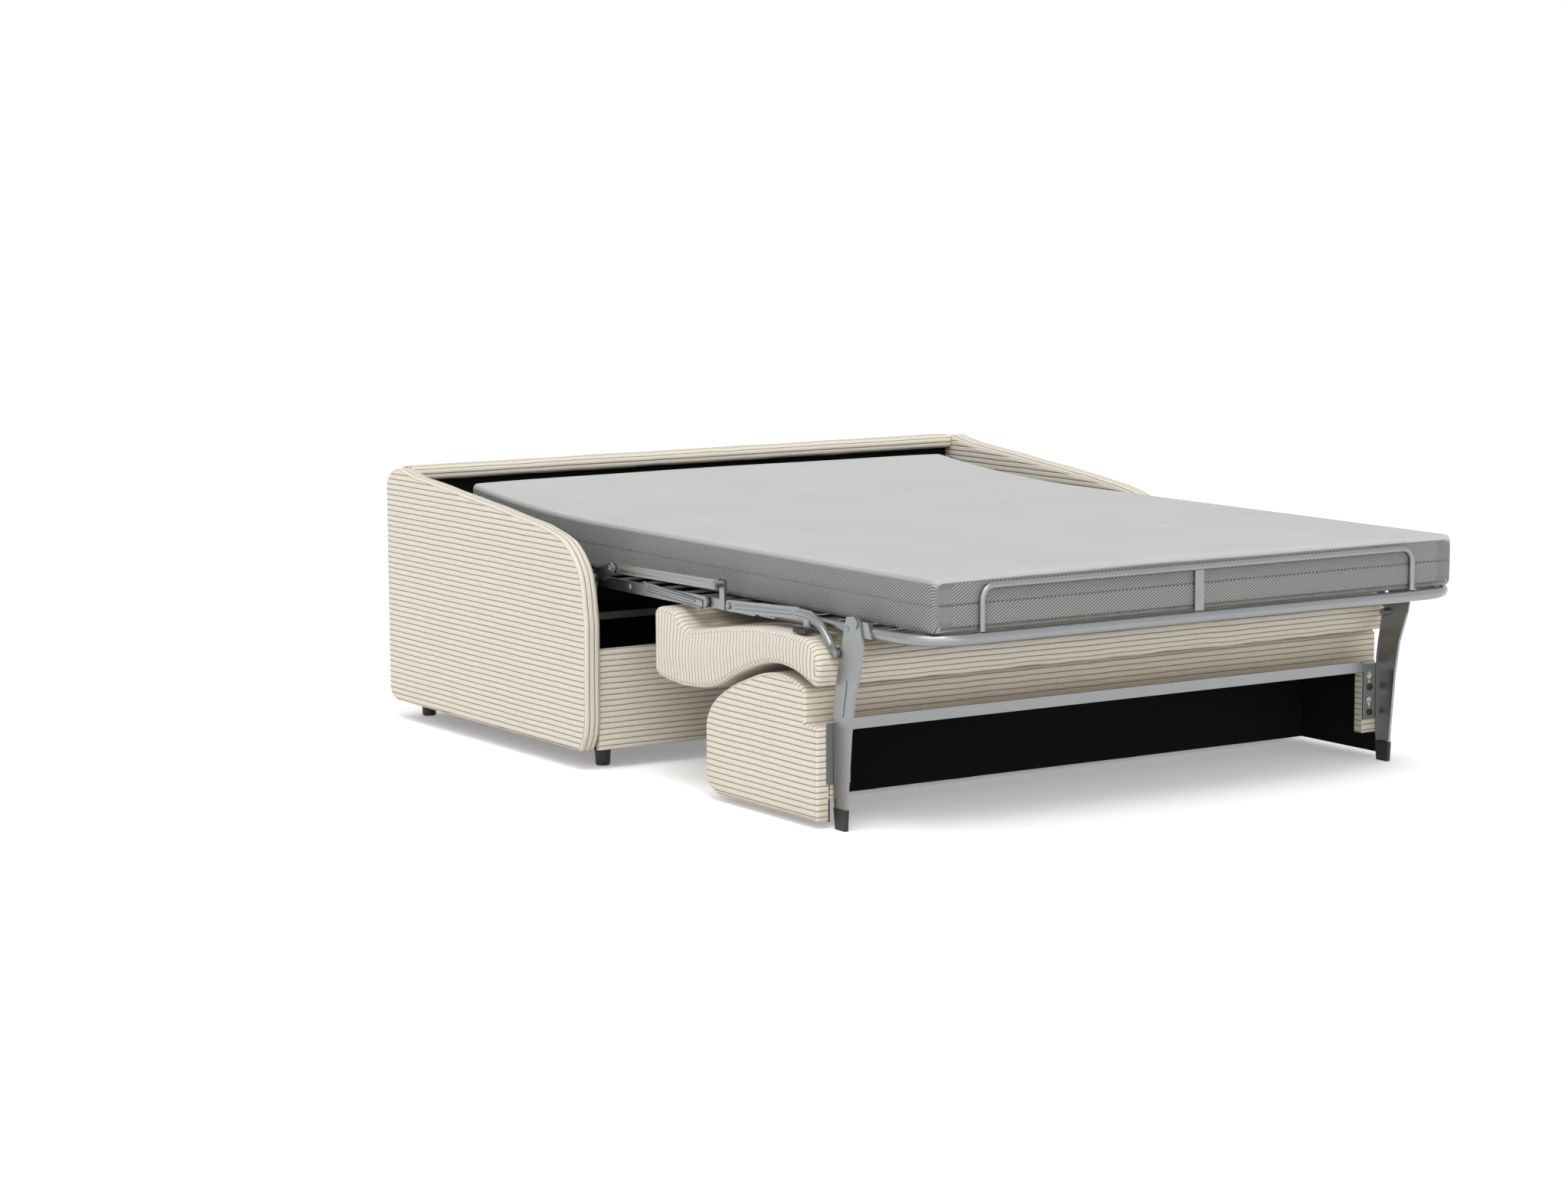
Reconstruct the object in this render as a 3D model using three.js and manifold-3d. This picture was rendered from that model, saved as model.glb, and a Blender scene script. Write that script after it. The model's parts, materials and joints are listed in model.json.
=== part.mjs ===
// A sleeper sofa with its bed pulled out.
// Millimetres, +Z up, floor at z = 0. The shell's back stands at y = 0 and the bed reaches toward -Y;
// at the end the whole sofa is centred on the origin.
import * as THREE from "three";
import { mergeVertices } from "three/addons/utils/BufferGeometryUtils.js";
import Module from "manifold-3d";

const wasm = await Module();
wasm.setup();

// Fits
const fit = 0.3; // between pieces that touch
const turnFit = 0.5; // round a pin in its hole
const overrun = 2; // how far a cut or a joined stub runs on

// Shell
const sofaWidth = 1702;
const armThickness = 45;
const armDepth = 976;
const armRise = 577;
const underside = 46;
const armEdge = 9;
const backHeight = 576;
const backThickness = 34;
const railThickness = 65;
const railHeight = 34;
const railEdge = 12;
const frontHeight = 230;
const frontThickness = 16;
const frontSetback = 941;
const frontEdge = 5;
const floorThickness = 4;
const liningThickness = 2.7;
const liningGap = 23;
const liningDrop = 60;
const footRadius = 19;
const footInset = 47;
const footFront = 891;
const footBack = 33;

// Bed and its linkage
const hingeHeight = 421;
const headHinge = 680;
const foldHinge = 1327;
const foldLength = 188;
const headReach = 328;
const liftPivot = { y: -768, z: 125 };
const bellBend = { y: -855, z: 245 };
const gussetFoot = { y: -868, z: 300 };
const torsionBar = { y: -797, z: 328 };
const carryPivot = { y: -885, z: 432 };
const linkPivot = { y: -962, z: 460 };
const linkEnd = { y: -1394, z: 467 };
const channelPivot = { y: -1078, z: 430 };
const bentEnd = { y: -1432, z: 424 };
const bentRise = { y: -1700, z: 438 };
const bentShoulder = { y: -1751, z: 437 };
const bentKnee = { y: -1790, z: 420 };
const seatPivot = { y: -1842, z: 370 };
const legPivot = { y: -1906, z: 438 };
const footOverhang = 226;

// Steel sections
const pinRadius = 8;
const hingePinRadius = 6;
const headRadius = 11.5;
const headThickness = 2.6;
const carrierThickness = 5;
const carrierHalfWidth = 16;
const linkThickness = 6;
const linkHalfWidth = 11;
const barThickness = 6;
const barHeight = 26;
const barOverlap = 12;
const tubeRadius = 12;
const footTubeRadius = 12.6;
const footTubeDrop = 0.6;
const footBend = 108;
const slatWidth = 34;
const slatThickness = 2;
const slatPitch = 82;
const mountThickness = 4.5;
const mountHalfLength = 70;
const mountHalfHeight = 45;
const torsionHeight = 16;
const torsionThickness = 5;
const bracketWidth = 20;
const gussetThickness = 4.5;
const gussetLength = 90;
const legGap = 3.3;
const headGap = 4;
const legThickness = 4;
const flangeDepth = 2.5;
const flangeThickness = 4;
const bentThickness = 4;
const bentHalfWidth = 12.5;
const bootHeight = 45;
const bootWall = 1.5;
const soleThickness = 8;
const loopTubeRadius = 7;
const loopHeight = 99;
const loopInset = 114.5;
const loopOffset = -4.5;
const loopBend = 28;
const postWidth = 24;
const postThickness = 4;
const postOffset = -22;

// Seat and backrest
const padInset = 21;
const seatStart = 1168;
const seatEndGap = 10;
const seatDepth = 172;
const seatBottom = 231;
const padEdge = 14;
const boxStart = 1382;
const boxLength = 439;
const boxHeight = 297;
const boxBottom = 14;
const boxWall = 28;
const hollowDepth = 266;
const hollowHeight = 191;
const boxLiningThickness = 2;
const crown = 6;
const bracketThickness = 3;
const keyholeBracketWidth = 58;
const keyholeBracketHeight = 128;
const keyholeBracketBottom = 94;
const keyholeRadius = 9;
const keySlotRadius = 4.5;
const keySlotDrop = 27;
const keyholeRise = 101;
const keyholePitch = 58;
const legBarHeight = 24;
const legBarBottom = 204;
const spacerLength = 46;
const spacerWidth = 26;
const spacerHeight = 8;
const spacerSetback = 35;

// Mattress
const mattressInset = 106;
const mattressHead = 161;
const mattressHeight = 114;
const mattressEdge = 13;
const mattressSeam = 3.5;
const headRise = 38;
const headRiseLength = 635;

// How finely the round forms are divided
const pinSides = 18;
const tubeSides = 14;
const bendSteps = 7;
const curveSteps = 6;
const edgeSteps = 2;
const padSteps = 4;
const mattressSteps = 5;

// Outlines as shares of the length and height of their piece, seen from the side
const armShares = [
  [0, 0.054], [0, 0.92], [0.006, 0.948], [0.018, 0.971], [0.037, 0.988], [0.064, 1], [0.157, 0.971],
  [0.305, 0.95], [0.433, 0.927], [0.557, 0.908], [0.679, 0.886], [0.793, 0.863], [0.859, 0.842],
  [0.903, 0.82], [0.935, 0.783], [0.962, 0.737], [0.977, 0.695], [0.989, 0.631], [1, 0.508],
  [0.998, 0.127], [0.99, 0.06], [0.97, 0], [0.036, 0], [0.01, 0.017],
];
const boxShares = [
  [0, 0.421], [0, 0.512], [0.016, 0.582], [0.05, 0.657], [0.107, 0.727], [0.173, 0.785], [0.269, 0.852],
  [0.362, 0.902], [0.456, 0.949], [0.528, 0.98], [0.629, 1], [0.692, 1], [0.781, 0.983], [0.852, 0.956],
  [0.895, 0.916], [0.895, 0.684], [1, 0.673], [1, 0], [0.109, 0], [0.055, 0.034], [0.011, 0.081],
  [0, 0.141],
];
const seatShares = [
  [0, 0.924], [0, 0.145], [0.024, 0.064], [0.074, 0.029], [0.179, 0], [0.294, 0.029], [0.367, 0.081],
  [0.437, 0.18], [0.5, 0.297], [0.562, 0.384], [0.623, 0.465], [0.672, 0.517], [0.738, 0.552],
  [0.78, 0.552], [0.839, 0.523], [0.886, 0.477], [0.937, 0.401], [0.974, 0.36], [0.994, 0.535],
  [1, 0.692], [0.974, 0.866], [0.914, 0.965], [0.794, 0.994], [0.628, 0.983], [0.425, 0.895],
  [0.304, 0.82], [0.214, 0.773], [0.169, 0.866], [0.127, 0.983], [0.059, 1], [0.02, 0.983],
];
const legShares = [
  [-0.094, 0.97], [-0.112, 0.856], [-0.144, 0.779], [-0.174, 0.619], [-0.185, 0.539], [-0.183, 0.14],
  [-0.164, 0], [-0.091, 0], [-0.075, 0.185], [-0.046, 0.468], [-0.016, 0.639], [0.043, 0.801], [0.064, 0.902],
  [0.034, 1.021], [-0.014, 1.032], [-0.071, 1.023],
];
const legRibShares = [[-0.082, 0.71], [-0.112, 0.557]];
const footProfileShares = [[0, 0], [0.8, 0], [0.88, 0.06], [0.9, 0.2], [1, 0.92], [1, 1], [0, 1]];
// Edge of the mattress from the bottom up: how far it is drawn in, as shares of the edge's radius, and
// its height, as shares of the mattress's height
const mattressSideShares = [
  [1, 0], [0.35, 0.025], [0, 0.1], [0.02, 0.3], [0.1, 0.44], [0.36, 0.5], [0.1, 0.56], [0.02, 0.7],
  [0, 0.9], [0.35, 0.975], [1, 1],
];
const mattressTopShares = [0.75, 0.4, 0, -0.4, -0.75];
const mattressCrownShare = 0.035;
const stubHeightShare = 0.785;
const stubInsetShare = 0.116;
const flangeTopShare = 0.79;
const tabFootShare = 0.9895;
const legGussetShares = [[-0.4, 0.02], [0.6, 0.02], [0.45, 0.38], [-0.24, 0.38]];

// Places across the sofa, from the arms inward
const innerHalf = sofaWidth / 2 - armThickness;
const liningInner = innerHalf - fit - liningThickness;
const mountInner = liningInner - fit - mountThickness;
const carrierOuter = mountInner - liningGap + overrun;
const carrierInner = carrierOuter - carrierThickness;
const linkOuter = carrierInner - carrierThickness;
const linkInner = linkOuter - linkThickness;
const midOuter = linkInner - pinRadius;
const midInner = midOuter - barThickness;
const bentOuter = midOuter + overrun;
const bentInner = bentOuter - bentThickness;
const legOuter = bentInner - legGap;
const legInner = legOuter - legThickness;
const flangeInner = legInner - flangeDepth;
const foldOuter = midInner - barThickness / 2;
const foldInner = foldOuter - barThickness;
const earOuter = foldInner - fit;
const bracketX0 = legInner + legThickness / 2 - keyholeBracketWidth * 0.707;
const headOuter = bracketX0 - headGap;
const headInner = headOuter - barThickness;
const tubeOuter = flangeInner - overrun;
const gussetOuter = tubeOuter + gussetThickness;
const padHalf = innerHalf - padInset;
const mattressHalf = innerHalf - mattressInset;
const bedReach = footOverhang - legPivot.y;
const seatLength = -seatPivot.y - seatEndGap - seatStart;
const footHinge = foldHinge + foldLength;
const footTubeHeight = hingeHeight - footTubeDrop;
const mattressBottom = hingeHeight + footTubeRadius - footTubeDrop + fit;
const footTubeLine = bedReach - footTubeRadius;

// Materials
const corduroy = { color: 0xd6c8ae, roughness: 0.95, metalness: 0 };
const knit = { color: 0xcfcfcb, roughness: 0.9, metalness: 0 };
const steel = { color: 0xa9abae, roughness: 0.35, metalness: 0.9 };
const blackCloth = { color: 0x17171a, roughness: 0.95, metalness: 0 };
const blackPlastic = { color: 0x141416, roughness: 0.55, metalness: 0 };

const sofa = new THREE.Group();
const sideways = new THREE.Matrix4().makeBasis(
  new THREE.Vector3(0, 1, 0), new THREE.Vector3(0, 0, 1), new THREE.Vector3(1, 0, 0),
);
const footward = new THREE.Matrix4().makeBasis(
  new THREE.Vector3(1, 0, 0), new THREE.Vector3(0, 0, 1), new THREE.Vector3(0, -1, 0),
);

function add(name, geometry, look) {
  const mesh = new THREE.Mesh(geometry, new THREE.MeshStandardMaterial(look));
  mesh.name = name;
  sofa.add(mesh);
}

function solid(geometry) {
  const bare = geometry.clone();
  bare.deleteAttribute("normal");
  bare.deleteAttribute("uv");
  const merged = mergeVertices(bare);
  return new wasm.Manifold(new wasm.Mesh({
    numProp: 3,
    vertProperties: new Float32Array(merged.attributes.position.array),
    triVerts: new Uint32Array(merged.index.array),
  }));
}

function geometryOf(body) {
  const mesh = body.getMesh();
  const geometry = new THREE.BufferGeometry();
  geometry.setAttribute("position", new THREE.BufferAttribute(new Float32Array(mesh.vertProperties), 3));
  geometry.setIndex(new THREE.BufferAttribute(new Uint32Array(mesh.triVerts), 1));
  geometry.computeVertexNormals();
  return geometry;
}

// One closed body from several that overlap, less the ones to cut
function made(joined, cuts = []) {
  let body = joined.map(solid).reduce((whole, piece) => whole.add(piece));
  for (const piece of cuts) body = body.subtract(solid(piece));
  return geometryOf(body);
}

// The same piece on the other side of the sofa
function mirrored(geometry) {
  const copy = geometry.index ? geometry.toNonIndexed() : geometry.clone();
  copy.scale(-1, 1, 1);
  const places = copy.attributes.position;
  for (let corner = 0; corner < places.count; corner += 3) {
    const second = new THREE.Vector3().fromBufferAttribute(places, corner + 1);
    const third = new THREE.Vector3().fromBufferAttribute(places, corner + 2);
    places.setXYZ(corner + 1, third.x, third.y, third.z);
    places.setXYZ(corner + 2, second.x, second.y, second.z);
  }
  copy.deleteAttribute("normal");
  copy.deleteAttribute("uv");
  const merged = mergeVertices(copy);
  merged.computeVertexNormals();
  return merged;
}

function addPair(name, geometry, look) {
  add(`right_${name}`, geometry, look);
  add(`left_${name}`, mirrored(geometry), look);
}

function block(x0, x1, y0, y1, z0, z1) {
  const geometry = new THREE.BoxGeometry(Math.abs(x1 - x0), Math.abs(y1 - y0), Math.abs(z1 - z0));
  return geometry.translate((x0 + x1) / 2, (y0 + y1) / 2, (z0 + z1) / 2);
}

function shapeOf(points) {
  return new THREE.Shape(points.map(([across, up]) => new THREE.Vector2(across, up)));
}

// An outline seen from the side, made solid from one x to another
function slab(shape, x0, x1, edge = 0, steps = 1) {
  const geometry = new THREE.ExtrudeGeometry(shape, {
    depth: x1 - x0 - edge * 2, steps, curveSegments: curveSteps, bevelEnabled: edge > 0,
    bevelSize: edge, bevelThickness: edge, bevelOffset: -edge, bevelSegments: edgeSteps,
  });
  geometry.applyMatrix4(sideways);
  return geometry.translate(x0 + edge, 0, 0);
}

// An outline seen from the foot of the bed, made solid from one y toward the foot
function wall(shape, yBack, depth) {
  const geometry = new THREE.ExtrudeGeometry(shape, {
    depth, steps: 1, curveSegments: curveSteps, bevelEnabled: false,
  });
  geometry.applyMatrix4(footward);
  return geometry.translate(0, yBack, 0);
}

// A flat strip with round ends between two places seen from the side
function strip(start, end, halfWidth) {
  const lean = Math.atan2(end.z - start.z, end.y - start.y);
  const shape = new THREE.Shape();
  shape.absarc(start.y, start.z, halfWidth, lean + Math.PI / 2, lean + Math.PI * 1.5);
  shape.absarc(end.y, end.z, halfWidth, lean - Math.PI / 2, lean + Math.PI / 2);
  return shape;
}

function disc(place, radius, x0, x1) {
  const geometry = new THREE.CylinderGeometry(radius, radius, Math.abs(x1 - x0), pinSides);
  geometry.rotateZ(Math.PI / 2);
  return geometry.translate((x0 + x1) / 2, place.y, place.z);
}

// A line through given places, so that a tube gets a ring at each
class BentPath extends THREE.Curve {
  constructor(places) {
    super();
    this.places = places;
  }

  indexAt(share) {
    return Math.round(share * (this.places.length - 1));
  }

  getPoint(share, target = new THREE.Vector3()) {
    return target.copy(this.places[this.indexAt(share)]);
  }

  getPointAt(share, target) {
    return this.getPoint(share, target);
  }

  getSpacedPoints() {
    return this.places.map((place) => place.clone());
  }

  getTangentAt(share, target = new THREE.Vector3()) {
    const index = this.indexAt(share);
    const here = this.places[index];
    const before = this.places[Math.max(index - 1, 0)];
    const after = this.places[Math.min(index + 1, this.places.length - 1)];
    const arriving = here.clone().sub(before).normalize();
    const leaving = after.clone().sub(here).normalize();
    return target.copy(arriving.add(leaving)).normalize();
  }
}

// Corners replaced by arcs of one radius
function rounded(corners, radius) {
  const places = [corners[0]];
  for (let index = 1; index < corners.length - 1; index += 1) {
    const inward = corners[index - 1].clone().sub(corners[index]).normalize();
    const outward = corners[index + 1].clone().sub(corners[index]).normalize();
    const half = inward.angleTo(outward) / 2;
    const reach = radius / Math.tan(half);
    const centre = inward.clone().add(outward).normalize().multiplyScalar(radius / Math.sin(half));
    centre.add(corners[index]);
    const from = inward.multiplyScalar(reach).add(corners[index]).sub(centre);
    const to = outward.multiplyScalar(reach).add(corners[index]).sub(centre);
    const sweep = from.angleTo(to);
    const axis = from.clone().cross(to).normalize();
    for (let step = 0; step <= bendSteps; step += 1) {
      places.push(from.clone().applyAxisAngle(axis, (sweep * step) / bendSteps).add(centre));
    }
  }
  places.push(corners[corners.length - 1]);
  return places;
}

function tube(places, radius) {
  const ring = [];
  for (let side = 0; side < tubeSides; side += 1) {
    const turn = ((side + 0.5) * Math.PI * 2) / tubeSides;
    ring.push([Math.cos(turn) * radius, Math.sin(turn) * radius]);
  }
  return new THREE.ExtrudeGeometry(shapeOf(ring), {
    steps: places.length - 1, extrudePath: new BentPath(places), bevelEnabled: false,
  });
}

function acrossTube(y, z, radius, halfWidth) {
  return tube([new THREE.Vector3(-halfWidth, y, z), new THREE.Vector3(halfWidth, y, z)], radius);
}

// Shell: arms, back and front in corduroy, with a lined well for the bed between them
const armOutline = shapeOf(armShares.map(([back, up]) => [-back * armDepth, underside + up * armRise]));
addPair("arm", slab(armOutline, innerHalf, sofaWidth / 2, armEdge), corduroy);

const railBottom = underside + backHeight - railHeight;
const backInner = innerHalf - fit;
const backOutline = shapeOf([
  [0, underside], [0, underside + backHeight - railEdge], [-railEdge, underside + backHeight],
  [-railThickness + railEdge, underside + backHeight], [-railThickness, underside + backHeight - railEdge],
  [-railThickness, railBottom + railEdge / 2], [-railThickness + railEdge / 2, railBottom],
  [-backThickness, railBottom], [-backThickness, underside],
]);
add("back_panel", slab(backOutline, -backInner, backInner), corduroy);

const frontOutline = shapeOf([
  [-frontSetback, underside], [-frontSetback, underside + frontHeight],
  [-frontSetback - frontThickness, underside + frontHeight], [-frontSetback - frontThickness, underside],
]);
add("front_panel", slab(frontOutline, -backInner, backInner, frontEdge), corduroy);

const floorTop = underside + floorThickness;
add("base_floor", block(-backInner, backInner, -frontSetback + fit, -backThickness - fit, underside, floorTop),
  blackCloth);
const liningHeight = railBottom - fit;
const loweredArm = shapeOf(armShares.map(([back, up]) => [
  -back * armDepth, Math.min(underside + up * armRise - liningDrop, liningHeight),
]));
const liningBackY = -backThickness - liningThickness - fit * 2;
addPair("lining", made([slab(loweredArm, liningInner, innerHalf - fit)], [
  block(liningInner - overrun, innerHalf + overrun, -armDepth - overrun, -frontSetback + fit, -liningDrop,
    armRise),
  block(liningInner - overrun, innerHalf + overrun, liningBackY, overrun, -liningDrop, armRise + underside),
  block(liningInner - overrun, innerHalf + overrun, -armDepth, overrun, -liningDrop, floorTop + fit),
]), blackCloth);
add("back_lining", block(-backInner, backInner, -backThickness - fit, -backThickness - fit - liningThickness,
  floorTop + fit, liningHeight), blackCloth);

const footHeight = underside - fit;
const footProfile = footProfileShares.map(
  ([out, up]) => new THREE.Vector2(out * footRadius, up * footHeight),
);
for (const [end, distance] of [["front", footFront], ["back", footBack]]) {
  const foot = new THREE.LatheGeometry(footProfile, pinSides);
  foot.rotateX(Math.PI / 2);
  foot.translate(innerHalf - footInset, -distance, 0);
  addPair(`${end}_foot`, foot, blackPlastic);
}

// Lift: plates on the arms carry two bell cranks, which raise the bed and let it down
const mountStart = { y: liftPivot.y - mountHalfLength, z: liftPivot.z };
const mountEnd = { y: liftPivot.y + mountHalfLength, z: liftPivot.z };
addPair("mount_plate", made([
  slab(strip(mountStart, mountEnd, mountHalfHeight), mountInner, liningInner - fit),
  disc(liftPivot, carrierHalfWidth, mountInner - overrun * 2, mountInner + overrun),
  disc(liftPivot, pinRadius, carrierInner - headThickness, mountInner + overrun),
  disc(liftPivot, headRadius, carrierInner - fit - headThickness, carrierInner - fit),
]), steel);

const crankWeb = shapeOf([gussetFoot, torsionBar, carryPivot].map((place) => [place.y, place.z]));
addPair("carrier_arm", made([
  slab(strip(liftPivot, bellBend, carrierHalfWidth), carrierInner, carrierOuter),
  slab(strip(bellBend, carryPivot, carrierHalfWidth), carrierInner, carrierOuter),
  slab(strip(carryPivot, linkPivot, linkHalfWidth + overrun), carrierInner, carrierOuter),
  slab(strip(gussetFoot, torsionBar, torsionHeight / 2 - fit * 2), carrierInner, carrierOuter),
  slab(crankWeb, carrierInner, carrierOuter),
  disc(linkPivot, pinRadius, linkInner - fit - headThickness, carrierInner + overrun),
  disc(linkPivot, headRadius, linkInner - fit - headThickness, linkInner - fit),
], [
  disc(liftPivot, pinRadius + turnFit, carrierInner - overrun, carrierOuter + overrun),
  disc(carryPivot, pinRadius + turnFit, carrierInner - overrun, carrierOuter + overrun),
]), steel);

add("torsion_bar", block(-carrierInner + fit, carrierInner - fit, torsionBar.y - torsionThickness / 2,
  torsionBar.y + torsionThickness / 2, torsionBar.z - torsionHeight / 2, torsionBar.z + torsionHeight / 2),
steel);

addPair("upper_link", made([
  slab(strip(linkPivot, linkEnd, linkHalfWidth), linkInner, linkOuter),
  disc(linkEnd, pinRadius, linkOuter - overrun, linkOuter + headThickness),
], [
  disc(linkPivot, pinRadius + turnFit, linkInner - overrun, linkOuter + overrun),
]), steel);

// Bed frame in four sections that fold on one another
function hingeAt(distance) {
  return { y: -distance, z: hingeHeight };
}

function sideBar(outer, y0, y1, height) {
  return slab(strip({ y: y0, z: hingeHeight }, { y: y1, z: hingeHeight }, height / 2), outer - barThickness,
    outer);
}

function slats(near, far, halfWidth) {
  const room = far - near;
  const count = Math.floor(room / slatPitch);
  const pieces = [];
  for (let index = 0; index < count; index += 1) {
    const middle = near + (room * (index + 0.5)) / count;
    pieces.push(block(-halfWidth, halfWidth, -middle - slatWidth / 2, -middle + slatWidth / 2,
      hingeHeight + tubeRadius - fit - slatThickness, hingeHeight + tubeRadius - fit));
  }
  return pieces;
}

function hingePin(distance, x0, x1) {
  return [
    disc(hingeAt(distance), hingePinRadius, x0, x1),
    mirrored(disc(hingeAt(distance), hingePinRadius, x0, x1)),
  ];
}

function hingeHoles(distance, x0, x1) {
  const radius = hingePinRadius + turnFit;
  const hole = disc(hingeAt(distance), radius, x0 - overrun, x1 + overrun);
  return [hole, mirrored(hole)];
}

const tubeInset = barOverlap + tubeRadius + headThickness + fit * 4;
const endReach = barOverlap - overrun;

// Head section
const headNear = headReach + tubeRadius;
const headFar = headHinge - tubeInset;
const headBar = sideBar(headOuter, -headReach - tubeRadius, -headHinge, barHeight - overrun);
add("head_frame", made([
  headBar, mirrored(headBar),
  acrossTube(-headNear, hingeHeight, tubeRadius, headInner + overrun),
  acrossTube(-headFar, hingeHeight, tubeRadius, headInner + overrun),
  ...slats(headNear + tubeRadius, headFar - tubeRadius, headInner + overrun),
], hingeHoles(headHinge, headInner, headOuter)), steel);

// Middle section, with the pins that the bell cranks carry
const midBar = sideBar(midOuter, -headHinge, -foldHinge, barHeight);
const carryPin = disc(carryPivot, pinRadius, midInner + overrun, carrierOuter + headThickness);
const carryHead = disc(carryPivot, headRadius, carrierOuter + fit, carrierOuter + fit + headThickness);
const carryBoss = disc(carryPivot, headRadius + overrun, midInner, midOuter + overrun);
add("mid_frame", made([
  midBar, mirrored(midBar),
  carryPin, mirrored(carryPin), carryHead, mirrored(carryHead), carryBoss, mirrored(carryBoss),
  acrossTube(-headHinge - tubeInset, hingeHeight, tubeRadius, midInner + overrun),
  acrossTube(-foldHinge + tubeInset, hingeHeight, tubeRadius, midInner + overrun),
  ...slats(headHinge + tubeInset + tubeRadius, foldHinge - tubeInset - tubeRadius, midInner + overrun),
  ...hingePin(headHinge, headInner - overrun, midInner + overrun),
  ...hingePin(foldHinge, foldInner - fit, midInner + overrun),
]), steel);

const channelHigh = slab(shapeOf([
  [channelPivot.y, channelPivot.z + linkHalfWidth], [channelPivot.y, channelPivot.z - linkHalfWidth],
  [-foldHinge + overrun * 2, hingeHeight - tubeRadius - linkThickness / 2],
  [-foldHinge + overrun * 2, hingeHeight + linkThickness / 2],
]), midOuter + fit, midOuter + linkThickness);
const channelHollow = slab(shapeOf([
  [channelPivot.y + overrun, channelPivot.z + linkHalfWidth - overrun],
  [channelPivot.y + overrun, channelPivot.z - linkHalfWidth + overrun],
  [-foldHinge, hingeHeight - tubeRadius - linkThickness / 2 + overrun],
  [-foldHinge, hingeHeight + linkThickness / 2 - overrun],
]), midOuter + overrun, midOuter + linkThickness + overrun);
addPair("lower_channel", made([channelHigh], [channelHollow]), steel);

// Fold section, which stands up inside the front panel when the bed is put away
const foldBar = sideBar(foldOuter, -foldHinge, -footHinge, barHeight - overrun * 2);
const linkBracket = slab(shapeOf([
  [linkEnd.y - bracketWidth / 2, linkEnd.z + bracketWidth / 2],
  [linkEnd.y - bracketWidth / 2, hingeHeight - tubeRadius + overrun],
  [linkEnd.y + bracketWidth / 2, hingeHeight - tubeRadius + overrun],
  [linkEnd.y + bracketWidth / 2, linkEnd.z + bracketWidth / 2],
]), foldOuter - overrun, foldOuter + gussetThickness);
const linkStud = disc(linkEnd, pinRadius, foldOuter + overrun, linkInner - fit);
add("fold_frame", made([
  foldBar, mirrored(foldBar), linkBracket, mirrored(linkBracket), linkStud, mirrored(linkStud),
  acrossTube(-foldHinge - tubeInset, hingeHeight, tubeRadius, foldInner + overrun),
  acrossTube(-footHinge + tubeInset + overrun, hingeHeight, tubeRadius, foldInner + overrun),
  ...slats(foldHinge + tubeInset + tubeRadius, footHinge - tubeInset - tubeRadius - overrun,
    foldInner + overrun),
  ...hingePin(footHinge, tubeOuter - linkThickness, foldInner + overrun),
], hingeHoles(foldHinge, foldInner, foldOuter)), steel);

// Foot section: one bent tube, with an ear at each hinge and a gusset at each leg
const footTubeX = tubeOuter - footTubeRadius;
const footTubeStart = -footHinge - barOverlap - overrun;
const footCorners = [
  new THREE.Vector3(-footTubeX, footTubeStart, footTubeHeight),
  new THREE.Vector3(-footTubeX, -footTubeLine, footTubeHeight),
  new THREE.Vector3(footTubeX, -footTubeLine, footTubeHeight),
  new THREE.Vector3(footTubeX, footTubeStart, footTubeHeight),
];
const ear = slab(strip(hingeAt(footHinge), { y: footTubeStart - footBend / 2, z: hingeHeight },
  tubeRadius - overrun), tubeOuter - linkThickness + overrun, earOuter);
const legGusset = slab(shapeOf(legGussetShares.map(([forward, up]) => [
  legPivot.y - forward * gussetLength, hingeHeight - tubeRadius + up * gussetLength,
])), tubeOuter - linkThickness, gussetOuter);
const legStud = disc(legPivot, pinRadius, tubeOuter, legOuter + headThickness);
const legHead = disc(legPivot, headRadius, legOuter + fit, legOuter + headThickness);
const footSlatHalf = footTubeX;
add("foot_frame", made([
  tube(rounded(footCorners, footBend), footTubeRadius),
  acrossTube(-footHinge - tubeInset - overrun, hingeHeight, tubeRadius, footTubeX),
  ear, mirrored(ear), legGusset, mirrored(legGusset), legStud, mirrored(legStud), legHead,
  mirrored(legHead),
  ...slats(footHinge + tubeInset + tubeRadius, footTubeLine - footBend, footSlatHalf),
], hingeHoles(footHinge, tubeOuter - linkThickness, earOuter)), steel);

// Hoop that keeps the mattress from sliding off the foot, with a flat post in the middle
const hoopBottom = footTubeHeight + footTubeRadius + fit;
const hoopTop = hoopBottom + loopHeight - loopTubeRadius;
const hoopX = mattressHalf - loopInset - loopTubeRadius;
const hoopCorners = [
  new THREE.Vector3(loopOffset - hoopX, -footTubeLine, hoopBottom),
  new THREE.Vector3(loopOffset - hoopX, -footTubeLine, hoopTop),
  new THREE.Vector3(loopOffset + hoopX, -footTubeLine, hoopTop),
  new THREE.Vector3(loopOffset + hoopX, -footTubeLine, hoopBottom),
];
add("mattress_hoop", made([
  tube(rounded(hoopCorners, loopBend), loopTubeRadius),
  block(postOffset - postWidth / 2, postOffset + postWidth / 2, -footTubeLine - postThickness / 2,
    -footTubeLine + postThickness / 2, hoopBottom, hoopTop),
]), steel);

// Legs: folded steel with a plastic boot; the backrest hangs between them
const legHeight = legPivot.z;
const legPoints = legShares.map(([forward, up]) => [legPivot.y - forward * legHeight, up * legHeight]);

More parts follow.
